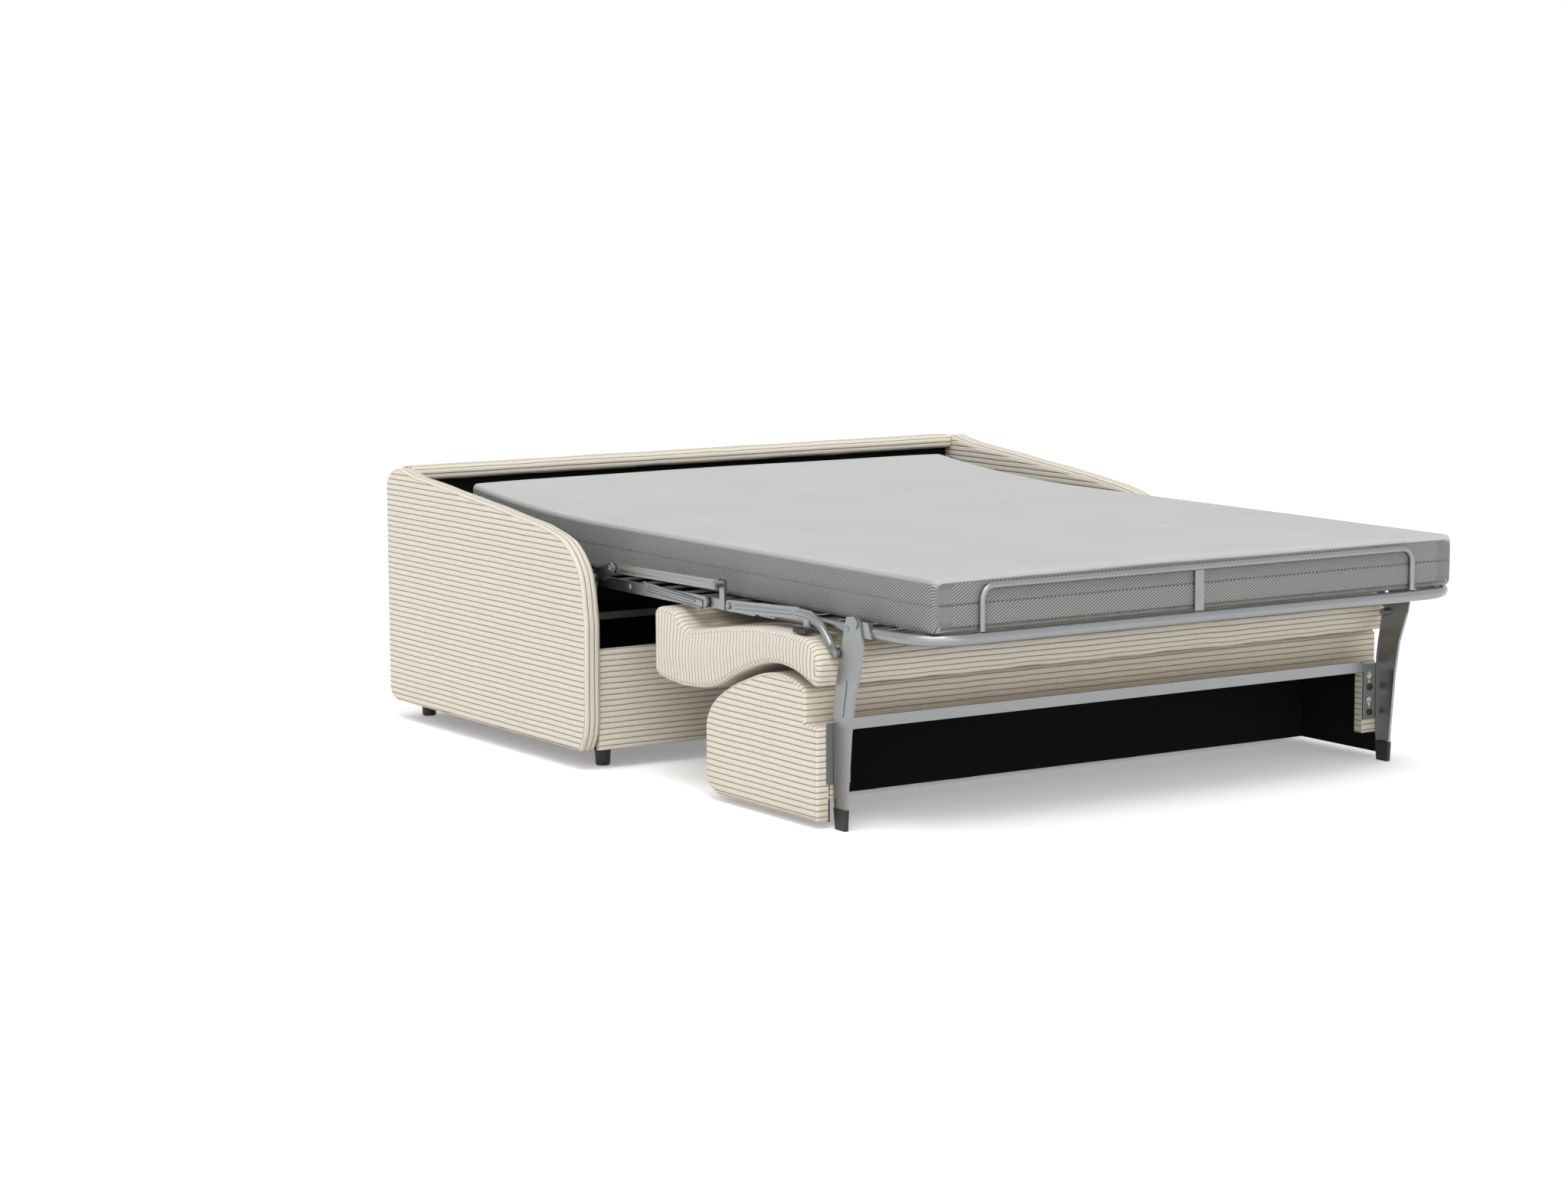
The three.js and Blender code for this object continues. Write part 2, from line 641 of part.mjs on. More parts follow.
// The outline drawn in by a distance, corner by corner
function drawnIn(points, distance) {
  return points.map((point, index) => {
    const before = points[(index + points.length - 1) % points.length];
    const after = points[(index + 1) % points.length];
    const inX = point[0] - before[0];
    const inY = point[1] - before[1];
    const outX = after[0] - point[0];
    const outY = after[1] - point[1];
    const inLength = Math.hypot(inX, inY);
    const outLength = Math.hypot(outX, outY);
    const normalX = -inY / inLength - outY / outLength;
    const normalY = inX / inLength + outX / outLength;
    const size = Math.hypot(normalX, normalY);
    const stretch = (distance * 2) / (size * size);
    return [point[0] + normalX * stretch, point[1] + normalY * stretch];
  });
}

const legTurn = THREE.ShapeUtils.isClockWise(legPoints.map(([y, z]) => new THREE.Vector2(y, z))) ? -1 : 1;
const bootLine = soleThickness;
const belowBoot = block(flangeInner - overrun, legOuter + overrun, legPivot.y - legHeight / 4,
  legPivot.y + legHeight / 4, -overrun, bootLine);
const legStub = { y: legPivot.y + stubInsetShare * legHeight, z: stubHeightShare * legHeight };
const ribPlaces = legRibShares.map(([forward, up]) => ({
  y: legPivot.y - forward * legHeight, z: up * legHeight,
}));
const legWeb = slab(shapeOf(legPoints), legInner, legOuter);
const legRim = made([slab(shapeOf(legPoints), flangeInner, legInner + overrun)], [
  slab(shapeOf(drawnIn(legPoints, legTurn * flangeThickness)), flangeInner - overrun, legInner
    + overrun * 2),
  block(flangeInner - overrun, legOuter, legPivot.y - legHeight / 4, legPivot.y + legHeight / 4,
    flangeTopShare * legHeight, legHeight * 1.5),
]);
const leg = made([
  legWeb, legRim,
  slab(strip({ y: (legPivot.y + seatPivot.y) / 2, z: legStub.z }, seatPivot, linkHalfWidth), legInner, legOuter),
  slab(strip(ribPlaces[0], ribPlaces[1], pinRadius - overrun), legOuter - overrun, legOuter + fit * 5),
  disc(legStub, pinRadius, flangeInner - barOverlap, legInner + overrun),
  disc(seatPivot, pinRadius, legOuter - overrun, bentOuter + fit + headThickness / 2),
  disc(seatPivot, headRadius, bentOuter + fit, bentOuter + fit + headThickness / 2),
], [
  disc(legPivot, pinRadius + turnFit, flangeInner, legOuter + overrun * 2),
  belowBoot,
]);
addPair("leg", leg, steel);

const bootPoints = drawnIn(legPoints, -legTurn * bootWall);
const bootBlock = made([slab(shapeOf(bootPoints), flangeInner - bootWall, legOuter + bootWall)], [
  block(flangeInner - bootWall * 2, legOuter + bootWall * 2, legPivot.y - legHeight / 4,
    legPivot.y + legHeight / 4, bootHeight, legHeight * 1.5),
  block(flangeInner - bootWall * 2, legOuter + bootWall * 2, legPivot.y - legHeight / 4,
    legPivot.y + legHeight / 4, -bootHeight, 0),
  made([slab(shapeOf(drawnIn(legPoints, -legTurn * fit)), flangeInner - fit, legOuter + fit)], [
    block(flangeInner - overrun, legOuter + overrun, legPivot.y - legHeight / 4,
      legPivot.y + legHeight / 4, -overrun, bootLine - fit),
  ]),
]);
addPair("leg_boot", bootBlock, blackPlastic);

// Bent links carry the seat from the legs
const bentPlaces = [bentEnd, bentRise, bentShoulder, bentKnee, seatPivot];
const bentStrips = bentPlaces.slice(1).map((place, index) => slab(
  strip(bentPlaces[index], place, index === 0 ? bentHalfWidth : bentHalfWidth - overrun), bentInner,
  bentOuter,
));
const tabFoot = seatBottom + seatDepth * tabFootShare + fit;
const spacerTop = tabFoot + spacerHeight;
const spacerMiddle = bentRise.y - spacerSetback;
const bentTab = block(bentInner, bentOuter, spacerMiddle - bracketWidth / 2, spacerMiddle + bracketWidth / 2,
  spacerTop + fit, bentRise.z);
addPair("bent_link", made([
  ...bentStrips, bentTab,
  disc(bentEnd, pinRadius, bentOuter - overrun, bentOuter + headThickness),
], [
  disc(seatPivot, pinRadius + turnFit, bentInner - overrun, bentOuter + overrun),
]), steel);

// Seat: a thick pad with a rolled nose, curved to clear the backrest below it
function padded(points, halfWidth, towardY, towardZ) {
  const geometry = slab(shapeOf(points), -halfWidth, halfWidth, padEdge, padSteps);
  const places = geometry.attributes.position;
  for (let index = 0; index < places.count; index += 1) {
    const out = places.getX(index) / halfWidth;
    const drawn = crown * out * out;
    const y = places.getY(index);
    const z = places.getZ(index);
    places.setY(index, y + towardY(y, z) * drawn);
    places.setZ(index, z + towardZ(y, z) * drawn);
  }
  return geometry;
}

const seatPoints = seatShares.map(([forward, up]) => [
  -seatStart - forward * seatLength, seatBottom + up * seatDepth,
]);
const seatNoseEnd = -seatStart - seatLength / 10;
const seatMiddle = seatBottom + seatDepth / 2;
add("seat_cushion", padded(seatPoints, padHalf, (y) => (y > seatNoseEnd ? -1 : 0),
  (y, z) => (z < seatMiddle && y < seatNoseEnd ? 1 : 0)), corduroy);
const spacerOuter = bentInner - overrun * 2 + spacerWidth;
addPair("seat_spacer", block(bentInner - overrun * 2, spacerOuter, spacerMiddle - spacerLength / 2,
  spacerMiddle + spacerLength / 2, tabFoot, spacerTop), blackPlastic);

// Backrest: a hollow padded box; it stands over the head section when the bed is put away
const boxPoints = boxShares.map(([forward, up]) => [
  -boxStart - forward * boxLength, boxBottom + up * boxHeight,
]);
const boxEnd = -boxStart - boxLength;
const hollowHalf = padHalf - boxWall;
const hollowTop = boxBottom + hollowHeight;
const backrest = made([padded(boxPoints, padHalf, () => 0,
  (y, z) => (z > hollowTop + boxWall ? -1 : 0))], [
  block(-hollowHalf, hollowHalf, boxEnd - overrun * 2, boxEnd + hollowDepth, boxBottom - overrun,
    hollowTop),
]);
add("backrest", backrest, corduroy);

const liningOuter = hollowHalf - fit;
const liningBack = boxEnd + hollowDepth - fit;
add("backrest_lining", made([
  block(-liningOuter, liningOuter, boxEnd, liningBack, boxBottom + fit, hollowTop - fit),
], [
  block(-liningOuter + boxLiningThickness, liningOuter - boxLiningThickness, boxEnd - overrun,
    liningBack - boxLiningThickness, boxBottom - overrun, hollowTop - fit - boxLiningThickness),
]), blackCloth);

// Brackets with two keyholes each, and a flat bar between them, hold the backrest to the legs
const bracketBack = boxEnd - fit;
const keyholes = [];
for (const rise of [keyholeRise, keyholeRise - keyholePitch]) {
  const x = bracketX0 + keyholeBracketWidth / 3;
  const top = { y: x, z: keyholeBracketBottom + rise };
  const low = { y: x, z: top.z - keySlotDrop };
  const round = new THREE.Shape();
  round.absarc(top.y, top.z, keyholeRadius, 0, Math.PI * 2);
  keyholes.push(wall(round, bracketBack + overrun, bracketThickness + overrun * 2));
  keyholes.push(wall(strip(top, low, keySlotRadius), bracketBack + overrun, bracketThickness + overrun * 2));
}
addPair("keyhole_bracket", made([
  block(bracketX0, bracketX0 + keyholeBracketWidth, bracketBack - bracketThickness, bracketBack,
    keyholeBracketBottom, keyholeBracketBottom + keyholeBracketHeight),
], keyholes), steel);
add("leg_bar", block(-bracketX0 + fit, bracketX0 - fit, bracketBack - bracketThickness, bracketBack,
  legBarBottom, legBarBottom + legBarHeight), steel);

// Mattress, cut into the four lengths that fold with the frame
function risen(distance) {
  const share = Math.max(0, 1 - (distance - mattressHead) / headRiseLength);
  return mattressHeight + headRise * share * share;
}

function mattress(start, end, roundStart, roundEnd) {
  const half = mattressHalf;
  const right = mattressSideShares.map(([inward, up]) => [
    half - inward * (up === 0.5 ? mattressSeam : mattressEdge), up * mattressHeight,
  ]);
  const top = mattressTopShares.map((out) => [
    out * half, mattressHeight * (1 + mattressCrownShare * (1 - out * out)),
  ]);
  const left = right.map(([x, z]) => [-x, z]).reverse();
  const shape = shapeOf([...right, ...top, ...left]);
  const stations = [];
  for (let step = 0; step <= mattressSteps; step += 1) {
    stations.push(start + ((end - start) * step) / mattressSteps);
  }
  if (roundStart) stations.splice(1, 0, start + mattressEdge / 3, start + mattressEdge);
  if (roundEnd) stations.splice(stations.length - 1, 0, end - mattressEdge, end - mattressEdge / 3);
  const geometry = new THREE.ExtrudeGeometry(shape, {
    depth: 1, steps: stations.length - 1, bevelEnabled: false,
  });
  geometry.applyMatrix4(footward);
  const places = geometry.attributes.position;
  for (let index = 0; index < places.count; index += 1) {
    const distance = stations[Math.round(-places.getY(index) * (stations.length - 1))];
    const fromEnd = Math.min(roundStart ? distance - start : mattressEdge,
      roundEnd ? end - distance : mattressEdge);
    const reach = Math.max(0, 1 - fromEnd / mattressEdge);
    const inset = mattressEdge * (1 - Math.sqrt(1 - reach * reach));
    const middle = mattressHeight / 2;
    const flat = middle + (places.getZ(index) - middle) * (1 - inset / middle);
    const tall = (flat * risen(distance)) / mattressHeight;
    places.setX(index, places.getX(index) * (1 - inset / half));
    places.setY(index, -distance);
    places.setZ(index, mattressBottom + tall);
  }
  return geometry;
}

const mattressFoot = footTubeLine - loopTubeRadius - fit;
add("head_mattress", mattress(mattressHead, headHinge - fit / 2, true, false), knit);
add("mid_mattress", mattress(headHinge + fit / 2, foldHinge - fit / 2, false, false), knit);
add("fold_mattress", mattress(foldHinge + fit / 2, footHinge - fit / 2, false, false), knit);
add("foot_mattress", mattress(footHinge + fit / 2, mattressFoot, false, true), knit);

sofa.position.y = bedReach / 2;

export default sofa;
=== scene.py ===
import json
import math

import bmesh
import bpy
import numpy as np
from mathutils import Matrix, Vector
from mathutils.geometry import delaunay_2d_cdt


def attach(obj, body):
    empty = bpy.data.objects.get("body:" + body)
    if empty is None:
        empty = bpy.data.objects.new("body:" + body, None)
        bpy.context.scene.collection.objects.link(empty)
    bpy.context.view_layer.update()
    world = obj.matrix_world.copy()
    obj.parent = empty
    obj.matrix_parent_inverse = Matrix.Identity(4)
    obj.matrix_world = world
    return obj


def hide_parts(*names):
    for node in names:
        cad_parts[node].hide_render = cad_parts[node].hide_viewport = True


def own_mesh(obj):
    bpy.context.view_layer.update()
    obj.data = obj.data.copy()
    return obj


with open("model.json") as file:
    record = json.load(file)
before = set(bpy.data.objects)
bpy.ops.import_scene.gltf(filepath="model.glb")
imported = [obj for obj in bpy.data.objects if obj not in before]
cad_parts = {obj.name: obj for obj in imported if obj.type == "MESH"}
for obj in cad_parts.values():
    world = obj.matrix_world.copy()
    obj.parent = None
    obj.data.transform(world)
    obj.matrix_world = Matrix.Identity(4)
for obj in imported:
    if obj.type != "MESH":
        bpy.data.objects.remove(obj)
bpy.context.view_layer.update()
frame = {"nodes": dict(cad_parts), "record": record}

scene = bpy.context.scene
scene.view_settings.view_transform = "Standard"
nodes = frame["nodes"]
bedReach = 2.132  # back of the sofa to the foot of the bed
print("frame loaded:", len(nodes), "nodes")


# Small helpers

def side(points):  # side-view millimetres from the sofa's back to metres in the shared frame
    return np.array([[y / 1000 + bedReach / 2, z / 1000] for y, z in points])


def wire(material, *pairs):
    for start, end in pairs:
        material.node_tree.links.new(start, end)


def addNode(material, kind, **values):
    node = material.node_tree.nodes.new(kind)
    for key, value in values.items():
        setattr(node, key, value)
    return node


def mathNode(material, operation, *values):
    node = addNode(material, "ShaderNodeMath", operation=operation)
    for socket, value in zip(node.inputs, values):
        if isinstance(value, (int, float)):
            socket.default_value = value
        else:
            wire(material, (value, socket))
    return node.outputs[0]


def scaled(material, value, factor):
    return mathNode(material, "MULTIPLY", value, factor)


def centred(material, value, factor):  # a value from 0 to 1 becomes one that swings to both sides of 0
    return scaled(material, mathNode(material, "SUBTRACT", value, 0.5), factor)


def noiseNode(material, vector, scale, detail=2.0, roughness=0.5):
    node = addNode(material, "ShaderNodeTexNoise")
    node.inputs["Scale"].default_value = scale
    node.inputs["Detail"].default_value = detail
    node.inputs["Roughness"].default_value = roughness
    wire(material, (vector, node.inputs["Vector"]))
    return node.outputs["Fac"]


def mixColour(material, factor, first, second):
    node = addNode(material, "ShaderNodeMix", data_type="RGBA")
    for socket, value in ((node.inputs[0], factor), (node.inputs[6], first), (node.inputs[7], second)):
        if isinstance(value, (int, float)):
            socket.default_value = value
        elif isinstance(value, (tuple, list)):
            socket.default_value = (*value[:3], 1)
        else:
            wire(material, (value, socket))
    return node.outputs[2]


def rampNode(material, value, low, high):
    node = addNode(material, "ShaderNodeMapRange", interpolation_type="SMOOTHSTEP")
    node.inputs["From Min"].default_value = low
    node.inputs["From Max"].default_value = high
    wire(material, (value, node.inputs["Value"]))
    return node.outputs["Result"]


def tinted(colour, factor):
    return tuple(min(1, c * factor) for c in colour)


def newMaterial(look):
    material = bpy.data.materials.new(look["name"])
    material.use_nodes = True
    shader = material.node_tree.nodes["Principled BSDF"]
    for socket, value in look["surface"].items():
        shader.inputs[socket].default_value = value
    return material, shader


def objectPlace(material):
    return addNode(material, "ShaderNodeTexCoord").outputs["Object"]


def bumpInto(material, shader, height, strength, distance):
    bump = addNode(material, "ShaderNodeBump")
    bump.inputs["Strength"].default_value = strength
    bump.inputs["Distance"].default_value = distance
    wire(material, (height, bump.inputs["Height"]), (bump.outputs["Normal"], shader.inputs["Normal"]))


# Materials; a noise is its scale, detail and roughness, and lengths are in metres

corduroyLook = {
    "name": "corduroy",
    "cream": (0.73, 0.675, 0.575),
    "patchNoise": (3.5, 3.0),
    "patchShare": 0.22,
    "patchTint": 0.86,
    "fibreNoise": (420.0, 2.0, 0.7),
    "fibreShare": 0.3,
    "fibreTint": 1.12,
    "fibreHeight": 0.05,
    "tuftNoise": (95.0, 2.0, 0.6),
    "tuftHeight": 0.16,
    "ribPitch": 0.0129,
    "ribDepth": 0.0026,
    "ribFullness": 4.0,
    "bumpStrength": 0.75,
    "wanderNoise": (7.0, 3.0),
    "wander": 0.0016,
    # painted shade in the grooves between the ribs: its colour, share, where it starts and is full, and its
    # fraying
    "groove": (0.26, 0.205, 0.135),
    "grooveShare": 0.86,
    "grooveStarts": 0.7,
    "grooveFull": 0.95,
    "grooveFray": 0.12,
    # painted shade: the darker, warmer colour painted where other parts are near, with its reach, share,
    # thresholds and samples
    "shade": (0.42, 0.31, 0.185),
    "shadeReach": 0.14,
    "shadeShare": 0.62,
    "shadeFull": 0.1,
    "shadeGone": 0.75,
    "shadeSamples": 6,
    "surface": {"Roughness": 0.94, "Specular IOR Level": 0.2, "Sheen Weight": 0.4, "Sheen Roughness": 0.5},
}


def corduroyMaterial(look):
    material, shader = newMaterial(look)
    ribPlace = addNode(material, "ShaderNodeSeparateXYZ")
    wire(material, (addNode(material, "ShaderNodeUVMap", uv_map="ribs").outputs[0], ribPlace.inputs[0]))
    place = objectPlace(material)
    fibre = noiseNode(material, place, *look["fibreNoise"])
    tuft = noiseNode(material, place, *look["tuftNoise"])
    patch = noiseNode(material, place, *look["patchNoise"])

    # each rib runs from one groove to the next, and wanders a little
    wander = centred(material, noiseNode(material, place, *look["wanderNoise"]), look["wander"] * 2)
    across = mathNode(material, "ADD", ribPlace.outputs[0], wander)
    share = mathNode(material, "FRACT", mathNode(material, "DIVIDE", across, look["ribPitch"]))
    fromMiddle = mathNode(material, "ABSOLUTE", mathNode(material, "SUBTRACT", share, 0.5))
    fromMiddle = scaled(material, fromMiddle, 2.0)
    hollow = mathNode(material, "POWER", fromMiddle, look["ribFullness"])
    rib = mathNode(material, "SUBTRACT", 1.0, hollow)
    # the grooves, the hollows of the rib bump, are marked here for painted shade
    frayed = mathNode(material, "ADD", fromMiddle, centred(material, tuft, look["grooveFray"]))
    groove = rampNode(material, frayed, look["grooveStarts"], look["grooveFull"])

    colour = mixColour(material, scaled(material, patch, look["patchShare"]), look["cream"],
                       tinted(look["cream"], look["patchTint"]))
    colour = mixColour(material, scaled(material, fibre, look["fibreShare"]), colour,
                       tinted(look["cream"], look["fibreTint"]))
    # painted shade in the grooves between the ribs
    colour = mixColour(material, scaled(material, groove, look["grooveShare"]), colour, look["groove"])

    # painted shade: where other parts are near (ambient occlusion), the cloth's colour turns darker and
    # warmer
    paintedShadeOcclusion = addNode(material, "ShaderNodeAmbientOcclusion", samples=look["shadeSamples"], only_local=False)
    paintedShadeOcclusion.inputs["Distance"].default_value = look["shadeReach"]
    openness = rampNode(material, paintedShadeOcclusion.outputs["AO"], look["shadeFull"], look["shadeGone"])
    shaded = mathNode(material, "SUBTRACT", 1.0, openness)
    colour = mixColour(material, scaled(material, shaded, look["shadeShare"]), colour, look["shade"])
    wire(material, (colour, shader.inputs["Base Color"]))

    height = mathNode(material, "ADD", rib, scaled(material, tuft, look["tuftHeight"]))
    height = mathNode(material, "ADD", height, scaled(material, fibre, look["fibreHeight"]))
    bumpInto(material, shader, height, look["bumpStrength"], look["ribDepth"])
    return material


knitLook = {
    "name": "knit",
    "top": (0.55, 0.55, 0.545),
    "topDark": (0.46, 0.46, 0.455),
    "patchNoise": (5.0, 2.0),
    "cellScale": 330.0,
    "cellShare": 0.35,
    # the border's stripe colours: partly the knit's own tone, partly painted shade that darkens the
    # mattress's sides
    "sideLight": (0.385, 0.385, 0.375),
    "sideDark": (0.13, 0.13, 0.125),
    "diagonalPitch": 0.0068,
    "diagonalLight": 0.1,
    "diagonalDark": 0.42,
    "wanderNoise": (30.0, 2.0),
    "wander": 0.0012,
    "loopNoise": (520.0, 2.0, 0.6),
    "loopShare": 0.3,
    "loopHeight": 0.35,
    "stitch": (0.12, 0.12, 0.12),
    "stitchLength": 0.011,
    "stitchFill": 0.62,
    "stitchShare": 0.65,
    "bumpStrength": 0.5,
    "bumpDepth": 0.0012,
    "surface": {"Roughness": 0.9, "Specular IOR Level": 0.2, "Sheen Weight": 0.15},
}


def knitMaterial(look):
    material, shader = newMaterial(look)
    place = objectPlace(material)
    border, diagonal, along, seam = (
        addNode(material, "ShaderNodeAttribute", attribute_name=label).outputs["Fac"]
        for label in ("borderShare", "diagonal", "alongEdge", "seamShare"))
    loops = noiseNode(material, place, *look["loopNoise"])
    cells = addNode(material, "ShaderNodeTexVoronoi")
    cells.inputs["Scale"].default_value = look["cellScale"]
    wire(material, (place, cells.inputs["Vector"]))

    # the border has diagonal wales, the top only fine cells; the border's colours are set darker than the
    # top's, partly the border knit's own tone and partly painted shade on the mattress's sides, and its dark
    # stripes lie in the bump's hollows as painted shade
    wander = scaled(material, noiseNode(material, place, *look["wanderNoise"]), look["wander"])
    stripe = mathNode(material, "DIVIDE", mathNode(material, "ADD", diagonal, wander), look["diagonalPitch"])
    stripe = mathNode(material, "SUBTRACT", mathNode(material, "FRACT", stripe), 0.5)
    wale = rampNode(material, mathNode(material, "ABSOLUTE", stripe), look["diagonalLight"],
                    look["diagonalDark"])
    top = mixColour(material, noiseNode(material, place, *look["patchNoise"]), look["top"], look["topDark"])
    top = mixColour(material, scaled(material, cells.outputs["Distance"], look["cellShare"]), top,
                    look["topDark"])
    flank = mixColour(material, wale, look["sideLight"], look["sideDark"])
    flank = mixColour(material, scaled(material, loops, look["loopShare"]), flank, look["sideDark"])
    colour = mixColour(material, border, top, flank)

    # dashes of thread along the seam
    dash = mathNode(material, "FRACT", mathNode(material, "DIVIDE", along, look["stitchLength"]))
    dash = mathNode(material, "LESS_THAN", dash, look["stitchFill"])
    stitch = scaled(material, mathNode(material, "MULTIPLY", dash, seam), look["stitchShare"])
    colour = mixColour(material, stitch, colour, look["stitch"])
    wire(material, (colour, shader.inputs["Base Color"]))

    height = mathNode(material, "MULTIPLY", mathNode(material, "SUBTRACT", 1.0, wale), border)
    height = mathNode(material, "ADD", height, scaled(material, loops, look["loopHeight"]))
    bumpInto(material, shader, height, look["bumpStrength"], look["bumpDepth"])
    return material


steelLook = {
    "name": "satin steel",
    "colour": (0.3, 0.311, 0.314),
    "worn": (0.23, 0.239, 0.243),
    "wornShare": 0.3,
    "cloudNoise": (22.0, 4.0, 0.6),
    "roughness": (0.28, 0.37),
    "surface": {"Metallic": 0.95},
}


def steelMaterial(look):
    material, shader = newMaterial(look)
    cloud = noiseNode(material, objectPlace(material), *look["cloudNoise"])
    colour = mixColour(material, scaled(material, cloud, look["wornShare"]), look["colour"], look["worn"])
    rough = addNode(material, "ShaderNodeMapRange")
    rough.inputs["To Min"].default_value, rough.inputs["To Max"].default_value = look["roughness"]
    wire(material, (colour, shader.inputs["Base Color"]), (cloud, rough.inputs["Value"]),
         (rough.outputs["Result"], shader.inputs["Roughness"]))
    return material


blackClothLook = {
    "name": "black lining cloth",
    "colour": (0.006, 0.006, 0.007),
    "grainNoise": (700.0, 2.0),
    "grainTint": 2.2,
    "bumpStrength": 0.4,
    "bumpDepth": 0.0004,
    "surface": {"Roughness": 0.95, "Specular IOR Level": 0.1},
}
blackPlasticLook = {
    "name": "black moulded plastic",
    "colour": (0.011, 0.011, 0.012),
    "grainNoise": (900.0, 2.0),
    "grainTint": 1.6,
    "bumpStrength": 0.25,
    "bumpDepth": 0.0002,
    "surface": {"Roughness": 0.5},
}


def blackMaterial(look):
    material, shader = newMaterial(look)
    grain = noiseNode(material, objectPlace(material), *look["grainNoise"])
    colour = mixColour(material, grain, look["colour"], tinted(look["colour"], look["grainTint"]))
    wire(material, (colour, shader.inputs["Base Color"]))
    bumpInto(material, shader, grain, look["bumpStrength"], look["bumpDepth"])
    return material


corduroy = corduroyMaterial(corduroyLook)
knit = knitMaterial(knitLook)
steel = steelMaterial(steelLook)
blackCloth = blackMaterial(blackClothLook)
blackPlastic = blackMaterial(blackPlasticLook)
finishes = {"corduroy": corduroy, "knit": knit, "steel": steel, "black_cloth": blackCloth,
            "black_plastic": blackPlastic}
print("materials made")


# The CAD nodes keep their shape; their edges are shaded by angle

shadingSpec = {"merge": 0.00002, "angle": 34}


def shadeByAngle(spec):
    group = bpy.data.node_groups.new("shadeByAngle", "GeometryNodeTree")
    group.interface.new_socket("Geometry", in_out="INPUT", socket_type="NodeSocketGeometry")
    group.interface.new_socket("Geometry", in_out="OUTPUT", socket_type="NodeSocketGeometry")
    make = group.nodes.new
    start, end = make("NodeGroupInput"), make("NodeGroupOutput")
    merge = make("GeometryNodeMergeByDistance")
    merge.inputs["Distance"].default_value = spec["merge"]
    smooth = make("GeometryNodeSetShadeSmooth")
    edge = make("GeometryNodeInputMeshEdgeAngle")
    compare = make("FunctionNodeCompare")
    compare.data_type = "FLOAT"
    compare.operation = "GREATER_THAN"
    compare.inputs[1].default_value = math.radians(spec["angle"])
    sharp = make("GeometryNodeSetShadeSmooth")
    sharp.domain = "EDGE"
    sharp.inputs["Shade Smooth"].default_value = False
    for first, second in (
        (start.outputs[0], merge.inputs["Geometry"]), (merge.outputs[0], smooth.inputs["Geometry"]),
        (smooth.outputs[0], sharp.inputs["Geometry"]), (edge.outputs[0], compare.inputs[0]),
        (compare.outputs[0], sharp.inputs["Selection"]), (sharp.outputs[0], end.inputs[0]),
    ):
        group.links.new(first, second)
    return group


shading = shadeByAngle(shadingSpec)
slots = {part["node"]: part["material_slot"] for part in frame["record"]["subparts"]}
for nodeName, node in nodes.items():
    node.data.materials.clear()
    node.data.materials.append(finishes[slots[nodeName]])
    modifier = node.modifiers.new("shading", "NODES")
    modifier.node_group = shading
print("CAD nodes dressed")


# Upholstery: an outline seen from the side, drawn across the sofa from one end panel to the other

seamSpec = {"degrees": (90, 81, 76, 73, 70, 67, 62, 52, 39, 26, 13, 0), "at": 70, "width": 4.0}
rippleSpec = {  # radians for each metre, phases, and a share
    "longX": 23, "longY": 9, "longPhase": 1.3,
    "crossY": 31, "crossZ": -17, "crossX": 6,
    "shortX": 51, "shortZ": 44, "shortPhase": 0.7,
    "fineZ": 37, "fineY": 29, "fineShare": 0.6,
}
coverSpec = {
    "rippleRise": 3,  # the ripple is at its full size a third of the half width in from each end
    "drawInPower": 4,
    "puffReach": 0.03, "puffPower": 1.5,
    "panelWaveY": 0.6, "panelWaveZ": 0.5, "panelWaveReach": 0.04,
}
panelClearance = 0.45  # the share of a panel's spacing that its grid keeps from the outline
tinyGap = 0.0000001


def smoothLoop(loop, spacing, softness):
    reach = max(1, int(3 * softness / spacing))
    offsets = np.arange(-reach, reach + 1)
    weights = np.exp(-0.5 * (offsets * spacing / softness) ** 2)
    weights /= weights.sum()
    return sum(w * np.roll(loop, -o, axis=0) for w, o in zip(weights, offsets))


def resampled(points, spacing, softness):
    closed = np.vstack([points, points[:1]])
    steps = np.hypot(*np.diff(closed, axis=0).T)
    distance = np.concatenate([[0], np.cumsum(steps)])
    count = int(distance[-1] / spacing)
    at = np.linspace(0, distance[-1], count, endpoint=False)
    loop = np.column_stack([np.interp(at, distance, closed[:, k]) for k in (0, 1)])
    once = smoothLoop(loop, spacing, softness)
    soft = 2 * once - smoothLoop(once, spacing, softness)  # keeps the outline's size
    area = np.sum(soft[:, 0] * np.roll(soft[:, 1], -1) - np.roll(soft[:, 0], -1) * soft[:, 1])
    return soft if area > 0 else soft[::-1]


def inwardNormals(loop):
    tangent = np.roll(loop, -1, axis=0) - np.roll(loop, 1, axis=0)
    tangent /= np.linalg.norm(tangent, axis=1)[:, None]
    return np.column_stack([-tangent[:, 1], tangent[:, 0]])


def ripple(x, y, z, size):
    wave = rippleSpec
    long = np.sin(x * wave["longX"] + y * wave["longY"] + wave["longPhase"])
    cross = np.sin(y * wave["crossY"] + z * wave["crossZ"] + x * wave["crossX"])
    short = np.sin(x * wave["shortX"] + z * wave["shortZ"] + wave["shortPhase"])
    fine = np.sin(z * wave["fineZ"] + y * wave["fineY"])
    return size * (long * cross + wave["fineShare"] * short * fine)


def meshPiece(name, verts, faces, material, body):
    mesh = bpy.data.meshes.new(name)
    mesh.from_pydata([tuple(v) for v in verts], [], faces)
    mesh.update()
    mesh.materials.append(material)
    mesh.shade_smooth()
    piece = bpy.data.objects.new(name, mesh)
    scene.collection.objects.link(piece)
    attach(piece, body)
    return piece


